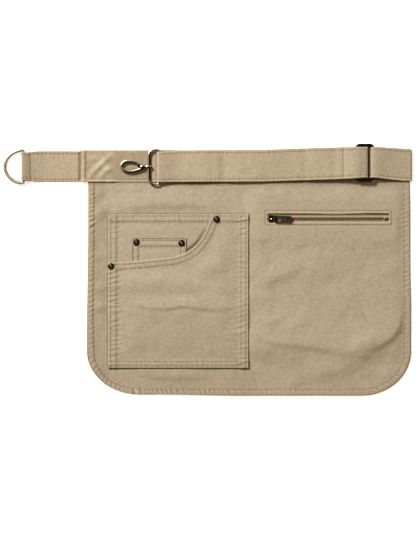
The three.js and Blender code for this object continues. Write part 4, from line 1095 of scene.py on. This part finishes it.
def evenly(points, spacing, closed=True):
    """The same line with its points at even distances."""
    points = np.asarray(points, float)
    line = np.vstack([points, points[:1]]) if closed else points
    place = travel(line)
    wanted = np.linspace(0, place[-1], round(place[-1] / spacing) + 1)
    even = np.stack([np.interp(wanted, place, part) for part in line.T], axis=1)
    return even[:-1] if closed else even


def paint_highlights(piece, centre, outside, above, half=0.0, from_top=0.2):
    """Painted highlights: a paler tone on faces that look away from a centre, and one on upper faces."""
    tones = []
    for vertex in piece.data.vertices:
        out_x = vertex.co.x / MM - centre[0]
        out_y = vertex.co.y / MM - centre[1]
        out_y -= min(half, max(-half, out_y))
        facing = (vertex.normal.x * out_x + vertex.normal.y * out_y) / math.hypot(out_x, out_y)
        tone = outside * float(ease(from_top, from_top + 0.5, facing))
        tones.append(tone + above * max(0.0, vertex.normal.z) ** 4)
    mark(piece, tones)


sweep = np.linspace(math.pi / 2, 3 * math.pi / 2, 60)
bow = np.stack([RING_REACH * np.cos(sweep), RING_HALF_HEIGHT * np.sin(sweep), 0 * sweep], axis=1)
tip = math.asin((RING_BAR[1] - RING_WIRE) / RING_REACH)
loop = evenly(bow, 1.0)
for _ in range(2):
    loop = (np.roll(loop, 1, axis=0) + 2 * loop + np.roll(loop, -1, axis=0)) / 4
flat_x = loop[:, 0].copy()
loop[:, 0] = flat_x * math.cos(tip) + RING_BAR[0]
loop[:, 2] = flat_x * math.sin(tip) + RING_BAR[1]
loop[:, 1] += RING_MIDDLE_Y
on_bow = ease(1.0, 5.0, RING_BAR[0] - loop[:, 0])
ring_size = RING_WIRE + (RING_WIDTH - RING_WIRE) * on_bow
pale_brass = worn_metal("pale_brass", PALE_COLOUR, PALE_WORN_AND_LIT, roughness=0.42)
d_ring = put_in_scene("d_ring_wire", *tube(loop, ring_size, depth=RING_WIRE / RING_WIDTH), pale_brass)
# A painted highlight on the wire's upper faces.
paint_highlights(d_ring, (RING_BAR[0] - 8, RING_MIDDLE_Y), outside=0.0, above=0.75)
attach(d_ring, "ring")
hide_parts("d_ring")

# Hook eye
# A loop of dark brass wire with a straight bar in the belt's fold. A boss on its free side carries the
# post that the hook turns on. A painted highlight lies on its upper left sides, from a far centre.
EYE_WIRE = 1.3
EYE_WIDTH = 1.65
EYE_SIDE_X = -74.7
EYE_LOOP_LEFT = -73.8
EYE_TOP = 149.4
EYE_BOTTOM = 106.2
EYE_CORNERS = (8.0, 1.6, 1.6, 8.0)
SWIVEL_Y = 128.1
SWIVEL = np.array([EYE_SIDE_X, SWIVEL_Y, EYE_BAR[1]])
FAR = 600
AGED_COLOUR = (0.016, 0.011, 0.007)
AGED_WORN_AND_LIT = (0.66, 0.575, 0.44)
BOSS_PROFILE = ((1.5, -2.6), (2.2, -2.5), (2.6, -1.9), (2.7, 0), (2.6, 1.9), (2.2, 2.5), (1.5, 2.6))


def rounded(left, right, bottom, top, corners, count=8):
    """A rectangle's outline with round corners, from the lower left corner anticlockwise."""
    centres = ((left, bottom, 1, 1), (right, bottom, -1, 1), (right, top, -1, -1), (left, top, 1, -1))
    outline = []
    for k, ((x, y, to_x, to_y), radius) in enumerate(zip(centres, corners)):
        for angle in np.linspace(math.pi + k * math.pi / 2, 1.5 * math.pi + k * math.pi / 2, count):
            outline.append((x + to_x * radius + radius * math.cos(angle),
                            y + to_y * radius + radius * math.sin(angle)))
    return np.array(outline)


def merged(*solids):
    """Several closed solids as one mesh."""
    vertices, faces = [], []
    for some_vertices, some_faces in solids:
        first = len(vertices)
        vertices.extend(some_vertices)
        faces.extend(tuple(first + k for k in face) for face in some_faces)
    return vertices, faces


def along_swivel(profile):
    """A turned solid laid down so that its axis is the swivel's."""
    vertices, faces = spun(profile)
    return SWIVEL + vertices[:, ::-1] * (1, 1, -1), faces


outline = evenly(rounded(EYE_LOOP_LEFT, EYE_BAR[0], EYE_BOTTOM, EYE_TOP, EYE_CORNERS), 1.0)
eye_line = np.column_stack([outline, np.full(len(outline), EYE_BAR[1])])
free_side = 1 - ease(EYE_LOOP_LEFT + 2, EYE_LOOP_LEFT + 6, outline[:, 0])
eye_size = EYE_WIRE + (EYE_WIDTH - EYE_WIRE) * free_side
aged_brass = worn_metal("aged_brass", AGED_COLOUR, AGED_WORN_AND_LIT, roughness=0.34, tarnish=0.3, edges=1.5)
eye_shape = merged(tube(eye_line, eye_size), along_swivel(BOSS_PROFILE))
hook_eye = put_in_scene("hook_eye_wire", *eye_shape, aged_brass)
# A painted highlight on the upper left sides, the upper faces a little darker.
paint_highlights(hook_eye, (EYE_SIDE_X + FAR, SWIVEL_Y - FAR), outside=1.0, above=-0.1, from_top=-0.3)
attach(hook_eye, "eye")
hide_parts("hook_eye")

# Snap hook
# A cast claw on a turned shoulder, neck and post. The post goes through the eye's boss and ends in a
# riveted head; the claw's tip leaves a gap that the gate closes.
CLAW = (
    (-6.6, -2.0), (-10.5, -3.3), (-14.5, -4.6), (-20.3, -5.8), (-27.5, -5.0), (-32.4, -1.6), (-33.0, 2.0),
    (-30.4, 5.4), (-25.3, 7.2), (-18.5, 6.6), (-12.9, 4.3),
)
CLAW_DEPTH = 0.72
FAR_BELOW = 700
SHANK_PROFILE = (
    (1.4, -9.7), (2.5, -9.5), (3.0, -8.8), (3.05, -7.4), (2.8, -6.0), (2.2, -5.2), (1.9, -4.4),
    (1.9, -3.2), (1.15, -2.9), (1.15, 2.9), (2.1, 3.0), (2.2, 3.5), (1.8, 4.2), (0.8, 4.5),
)
claw_line = curve_through(CLAW, 0.6)
claw_share = np.linspace(0, 1, len(claw_line))
claw_size = 2.0 - 0.3 * claw_share - 0.5 * ease(0.93, 1.0, claw_share)
claw_points = np.column_stack([claw_line, np.zeros(len(claw_line))]) + SWIVEL
claw = tube(claw_points, claw_size, closed=False, depth=CLAW_DEPTH)
hook = put_in_scene("hook_body", *merged(claw, along_swivel(SHANK_PROFILE)), aged_brass)
# A painted highlight on the upper left sides, the upper faces a little darker.
paint_highlights(hook, (EYE_SIDE_X + FAR, SWIVEL_Y - FAR_BELOW), outside=1.0, above=-0.1, from_top=-0.3)
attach(hook, "snap_hook")
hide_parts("hook")

# Hook gate
# A small sprung brass lever that turns on a pin in the hook's shoulder and closes the claw's gap from
# inside. It is stamped from plate, with softened edges.
GATE_OUTLINE = (
    (-6.1, -0.9), (-6.1, 1.4), (-8.7, 3.7), (-13.9, 2.7), (-13.9, 1.3), (-9.2, -1.4), (-7.0, -1.6),
)
GATE_HALF = 1.0
GATE_BEVEL = 0.3


def plate(name, outline, holes, low, high, bevel):
    """A flat plate with softened edges, cut from an outline with holes. Heights are low and high."""
    curve = bpy.data.curves.new(name, "CURVE")
    curve.dimensions = "2D"
    curve.fill_mode = "BOTH"
    curve.extrude = (high - low) / 2 * MM - bevel * MM
    curve.bevel_depth = bevel * MM
    curve.bevel_resolution = 3
    curve.offset = -bevel * MM
    for points in (outline, *holes):
        spline = curve.splines.new("POLY")
        spline.points.add(len(points) - 1)
        for point, (x, y) in zip(spline.points, points):
            point.co = (x * MM, y * MM, 0, 1)
        spline.use_cyclic_u = True
    shape = bpy.data.objects.new(name, curve)
    bpy.context.scene.collection.objects.link(shape)
    bpy.context.view_layer.update()
    mesh = bpy.data.meshes.new_from_object(shape.evaluated_get(bpy.context.evaluated_depsgraph_get()))
    bpy.data.objects.remove(shape)
    bpy.data.curves.remove(curve)
    vertices = np.array([vertex.co for vertex in mesh.vertices]) / MM
    vertices[:, 2] += (low + high) / 2
    faces = [tuple(polygon.vertices) for polygon in mesh.polygons]
    bpy.data.meshes.remove(mesh)
    return vertices, faces


gate_vertices, gate_faces = plate("gate", GATE_OUTLINE, (), -GATE_HALF, GATE_HALF, GATE_BEVEL)
hook_gate = put_in_scene("hook_gate_lever", gate_vertices + SWIVEL, gate_faces, aged_brass)
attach(hook_gate, "gate")
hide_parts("hook_gate")

# Belt slider
# A flat three-bar slider stamped from brass plate. The belt comes over its right bar and under the other
# two, and the belt's end is sewn round the middle bar.
SLIDER_SIDE = 4.0
SLIDER_TOP_SIDE = 4.9
SLIDER_BAR = 3.0
SLIDER_CENTRE = 196.7
SLIDER_BEVEL = 0.55
slider_low, slider_high = node_box("belt_slider")
left, right = slider_low[0], slider_high[0]
bottom, top = slider_low[1], slider_high[1]
middle_x, middle_y = (left + right) / 2, (bottom + top) / 2
outline = rounded(left, right, bottom, top, (6, 6, 6, 6), 10)
arch = 1.0 - ((outline[:, 0] - middle_x) / ((right - left) / 2)) ** 2
outline[:, 1] += np.where(outline[:, 1] > middle_y, 0.9, -0.6) * (arch - 1)
slots = [
    rounded(slot_left, slot_right, bottom + SLIDER_SIDE, top - SLIDER_TOP_SIDE, (1,) * 4, 4)
    for slot_left, slot_right in (
        (left + SLIDER_BAR, SLIDER_CENTRE - SLIDER_BAR / 2),
        (SLIDER_CENTRE + SLIDER_BAR / 2, right - SLIDER_BAR),
    )
]
frame_shape = plate("slider", outline, slots, slider_low[2], slider_high[2], SLIDER_BEVEL)
belt_slider = put_in_scene("belt_slider_frame", *frame_shape, aged_brass)
# A painted highlight on the frame's outer edges.
paint_highlights(belt_slider, (middle_x, middle_y), outside=0.25, above=0.0, half=20.0)
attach(belt_slider, "apron")
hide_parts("belt_slider")

# Zip pocket bag
# The pocket behind the zip is a plain sheet of twill sewn to the back of the panel, which hides it.
# It lies flat on the floor.
BAG_CLOTH = 0.8
BAG_MIDDLE = 0.55
bag_low, bag_high = node_box("zip_pocket_bag")
x, y = np.meshgrid(np.linspace(bag_low[0], bag_high[0], 44), np.linspace(bag_high[1], bag_low[1], 50))
bag_grid = np.stack([x, y, BAG_MIDDLE + 0.1 * lattice_noise(x, y, 22, 131)], axis=2)
bag = lay_cloth("zip_pocket_bag_cloth", bag_grid, BAG_CLOTH, 0 * x, twill)
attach(bag, "apron")
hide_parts("zip_pocket_bag")

# Zip tapes
# Two woven cotton tapes sewn behind the slot, one along each side of the chain, with fine ribs along
# them. Painted shade darkens them along the teeth and under the slot's upper lip.
TAPE_CLOTH = 0.6
TAPE_COLOUR = (0.50, 0.40, 0.27)
TAPE_RIB = 1.1 * MM
TAPE_MIDDLE = 2.2
TAPES = (("zip_tape_upper", 0.5, 18.2), ("zip_tape_lower", -0.5, -14.8))
tape_finish, place, shader = new_material("zip_tape")
ribs = (place.part("Y") * (2 * math.pi / TAPE_RIB)).sine() * 0.5 + 0.5
weft = (place.part("X") * (2 * math.pi / (0.6 * TAPE_RIB))).sine() * 0.5 + 0.5
weave = ribs * 0.4 + weft * 0.2 + place.noise(500.0, 3.0) * 0.4
woven = weave.mix(tint(TAPE_COLOUR, 0.62, 0.62, 0.62), tint(TAPE_COLOUR, 1.3, 1.3, 1.3))
# Painted shade: below 0 the shade tone mixes the tape towards dark brown.
feed(shader, {
    "Base Color": (place.shade() * -1.0).mix(woven, tint(TAPE_COLOUR, 0.2, 0.14, 0.08)),
    "Roughness": 0.85,
    "Specular IOR Level": 0.2,
    "Normal": (ribs + weft * 0.4).bump(0.5, 0.0003),
})
chain_low, chain_high = node_box("zip_chain")
CHAIN_Y = (chain_low[1] + chain_high[1]) / 2
for node, inner, outer in TAPES:
    low, high = node_box(node)
    x, y = np.meshgrid(np.linspace(low[0], high[0], 82), CHAIN_Y + np.linspace(outer, inner, 14))
    z = TAPE_MIDDLE + 0.06 * lattice_noise(x, y, 12, 141) + 0.2 * bell(y - CHAIN_Y, 1.6)
    # Painted shade along the teeth and under the slot's upper lip.
    tape_shadow = -0.95 * bell(y - CHAIN_Y, 2.2) - 0.8 * ease(WINDOW.top - 3.2, WINDOW.top - 1.4, y)
    tape = lay_cloth(node + "_cloth", np.stack([x, y, z], axis=2), TAPE_CLOTH, tape_shadow, tape_finish)
    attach(tape, "apron")
    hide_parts(node)

# Zip chain
# Two rows of small stamped brass teeth that hook into each other. Each tooth is clamped on the edge of
# its tape, and every second one sits a little lower.
TOOTH_PITCH = 3.4
TOOTH_HALF = (0.62, 1.5)
TOOTH_FOOT = 1.5
TOOTH_SLOPE = 0.25
ZIP_BRASS = (0.14, 0.10, 0.055)
ZIP_WORN = (0.55, 0.44, 0.28)


def chip(centre, half, low, high, slope):
    """A small block whose top edges are sloped off."""
    vertices = []
    for height, trim in ((low, 0), (high - slope, 0), (high, slope)):
        for to_x, to_y in ((-1, -1), (1, -1), (1, 1), (-1, 1)):
            x = centre[0] + to_x * (half[0] - trim)
            y = centre[1] + to_y * (half[1] - trim)
            vertices.append((x, y, height))
    faces = [(3, 2, 1, 0), (8, 9, 10, 11)]
    for layer in (0, 4):
        for k in range(4):
            after = (k + 1) % 4
            faces.append((layer + k, layer + after, layer + 4 + after, layer + 4 + k))
    return vertices, faces


teeth = []
for k, tooth_x in enumerate(np.arange(chain_low[0] + 0.7, chain_high[0] - 0.6, TOOTH_PITCH / 2)):
    shift, drop = (1.1, 0.2) if k % 2 else (-1.1, 0.0)
    spot = (tooth_x, CHAIN_Y + shift)
    teeth.append(chip(spot, TOOTH_HALF, TOOTH_FOOT, chain_high[2] - drop, TOOTH_SLOPE))
zip_brass = worn_metal("zip_brass", ZIP_BRASS, ZIP_WORN, roughness=0.4, edges=5.0)
zip_chain = put_in_scene("zip_chain_teeth", *merged(*teeth), zip_brass)
zip_chain.data.polygons.foreach_set("use_smooth", [False] * len(zip_chain.data.polygons))
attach(zip_chain, "apron")
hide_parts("zip_chain")

# Zip end stop
# A small brass clip pressed over both tapes where the chain ends, so that the slider can't run off it.
# Its upper left sides carry a painted highlight.
STOP_BEVEL = 0.4
stop_low, stop_high = node_box("zip_end_stop")
stop_outline = rounded(stop_low[0], stop_high[0], stop_low[1], stop_high[1], (0.8,) * 4, 5)
stop_shape = plate("stop", stop_outline, (), stop_low[2], stop_high[2], STOP_BEVEL)
zip_stop = put_in_scene("zip_end_stop_clip", *stop_shape, aged_brass)
# A painted highlight on the upper left sides and the top.
paint_highlights(zip_stop, (stop_low[0] + FAR, stop_low[1] - FAR), outside=0.9, above=0.2, from_top=-0.1)
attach(zip_stop, "apron")
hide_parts("zip_end_stop")

# Zip slider
# A cast shield-shaped body over the chain, with a bridge on its back that the pull hangs from. A
# painted glint lies on the bridge where the pull doesn't cover it.
BODY = {"left": 75.8, "right": 86.2, "half_left": 4.8, "half_right": 3.7, "foot": 2.5, "head": 4.4}
BODY_SHIFT = 0.4
BODY_BEVEL = 0.5
SLIDER_BRASS = (0.03, 0.022, 0.015)
SLIDER_WORN_AND_GLINT = (0.72, 0.64, 0.5)
BRIDGE_WIRE = 0.75
BRIDGE = (
    (77.7, 4.0), (77.9, 5.8), (78.7, 7.0), (80.2, 7.4), (83.2, 7.4), (84.7, 7.0), (85.4, 5.8), (85.6, 4.0),
)
shield = rounded(BODY["left"], BODY["right"], -1, 1, (0.4,) * 4, 4)
share = (shield[:, 0] - BODY["left"]) / (BODY["right"] - BODY["left"])
shield[:, 1] *= BODY["half_left"] + (BODY["half_right"] - BODY["half_left"]) * share
shield[:, 1] += CHAIN_Y + BODY_SHIFT
body = plate("zip_body", shield, (), BODY["foot"], BODY["head"], BODY_BEVEL)
bridge_line = evenly(BRIDGE, 0.4, closed=False)
bridge_points = np.insert(bridge_line, 1, CHAIN_Y, axis=1)
bridge = tube(bridge_points, BRIDGE_WIRE, closed=False, sides=14, up=(0, 1, 0))
slider_vertices, slider_faces = merged(body, bridge)
pale_zip = worn_metal("zip_slider_brass", SLIDER_BRASS, SLIDER_WORN_AND_GLINT, roughness=0.25)
zip_slider = put_in_scene("zip_slider_body", slider_vertices, slider_faces, pale_zip)
# A painted glint on the top of the bridge's left end.
spot_x, _, spot_z = np.array(slider_vertices).T
mark(zip_slider, 0.9 * ease(5.6, 7.2, spot_z) * (1 - ease(79.0, 80.5, spot_x)))
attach(zip_slider, "apron")
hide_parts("zip_slider")

# Zip pull
# A flat stamped tab with a long eye that goes round the bridge and a small slot near its free end. It
# lies nearly level, a little askew.
PULL_AXIS = (83.3, 5.6)
PULL_TIP = math.radians(0.4)
PULL_DROOP = 0.045
PULL_HALF = 0.65
PULL_BEVEL = 0.35
PULL_WAIST = 11.5
PULL = Box(-0.7, 21.8, -4.4, 4.4)
PULL_EYE = Box(0.8, 8.2, -2.5, 2.5)
PULL_SLOT = Box(14.6, 17.4, -2.0, 2.0)
pull_outline = rounded(*PULL, (1.2, 2.0, 2.0, 1.2), 7)
pull_outline[:, 1] *= 1 - 0.12 * bell(pull_outline[:, 0] - PULL_WAIST, 4.0)
pull_holes = (rounded(*PULL_EYE, (1.0,) * 4, 5), rounded(*PULL_SLOT, (0.9,) * 4, 5))
pull_vertices, pull_faces = plate("pull", pull_outline, pull_holes, -PULL_HALF, PULL_HALF, PULL_BEVEL)
flat_x, flat_z = pull_vertices[:, 0].copy(), pull_vertices[:, 2].copy()
pull_vertices[:, 0] = PULL_AXIS[0] + flat_x * math.cos(PULL_TIP) + flat_z * math.sin(PULL_TIP)
pull_vertices[:, 2] = PULL_AXIS[1] - flat_x * math.sin(PULL_TIP) + flat_z * math.cos(PULL_TIP)
pull_vertices[:, 1] += CHAIN_Y - PULL_DROOP * np.maximum(flat_x, 0)
zip_pull = put_in_scene("zip_pull_tab", pull_vertices, pull_faces, aged_brass)
# A painted highlight on the tab's outer rim, and faintly on its top.
paint_highlights(zip_pull, (PULL_AXIS[0] + 10.5, CHAIN_Y), outside=0.6, above=0.14)
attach(zip_pull, "pull")
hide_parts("zip_pull")

# Stage
# A plain white floor, a big soft lamp from the upper left and an even sky. The camera looks straight
# down, as the photo does.
CENTRE_X = 0.0028
CENTRE_Y = -0.0006
CAMERA_HEIGHT = 2.5
VIEW_WIDTH = 0.525
SENSOR = 36.0
LAMP_PLACE = Vector((-1.55, 1.85, 2.0))
LAMP_POWER = 150
LAMP_SIZE = 0.5
SKY_COLOUR = (1, 0.84, 0.6, 1)
SKY_STRENGTH = 0.34
FLOOR_SIZE = 8
FLOOR_DROP = 0.0003
bpy.ops.mesh.primitive_plane_add(size=FLOOR_SIZE, location=(0, 0, -FLOOR_DROP))
floor = bpy.context.object
floor.name = "floor"
paper, _, shader = new_material("white_floor")
feed(shader, {
    "Base Color": (0.97, 0.97, 0.97, 1),
    "Roughness": 0.9,
    "Specular IOR Level": 0.0,
    "Emission Color": (1, 1, 1, 1),
    "Emission Strength": 0.6,
})
floor.data.materials.append(paper)
lens = bpy.data.cameras.new("camera")
lens.sensor_fit = "HORIZONTAL"
lens.sensor_width = SENSOR
lens.lens = SENSOR * CAMERA_HEIGHT / VIEW_WIDTH
camera = bpy.data.objects.new("camera", lens)
camera.location = (CENTRE_X, CENTRE_Y, CAMERA_HEIGHT)
bpy.context.scene.collection.objects.link(camera)
bpy.context.scene.camera = camera
glow = bpy.data.lights.new("key_lamp", "AREA")
glow.energy = LAMP_POWER
glow.size = LAMP_SIZE
lamp = bpy.data.objects.new("key_lamp", glow)
lamp.location = LAMP_PLACE
lamp.rotation_euler = (-LAMP_PLACE).to_track_quat("-Z", "Y").to_euler()
bpy.context.scene.collection.objects.link(lamp)
sky = bpy.data.worlds.new("sky")
sky.use_nodes = True
feed(sky.node_tree.nodes["Background"], {"Color": SKY_COLOUR, "Strength": SKY_STRENGTH})
bpy.context.scene.world = sky
bpy.context.scene.view_settings.view_transform = "Standard"
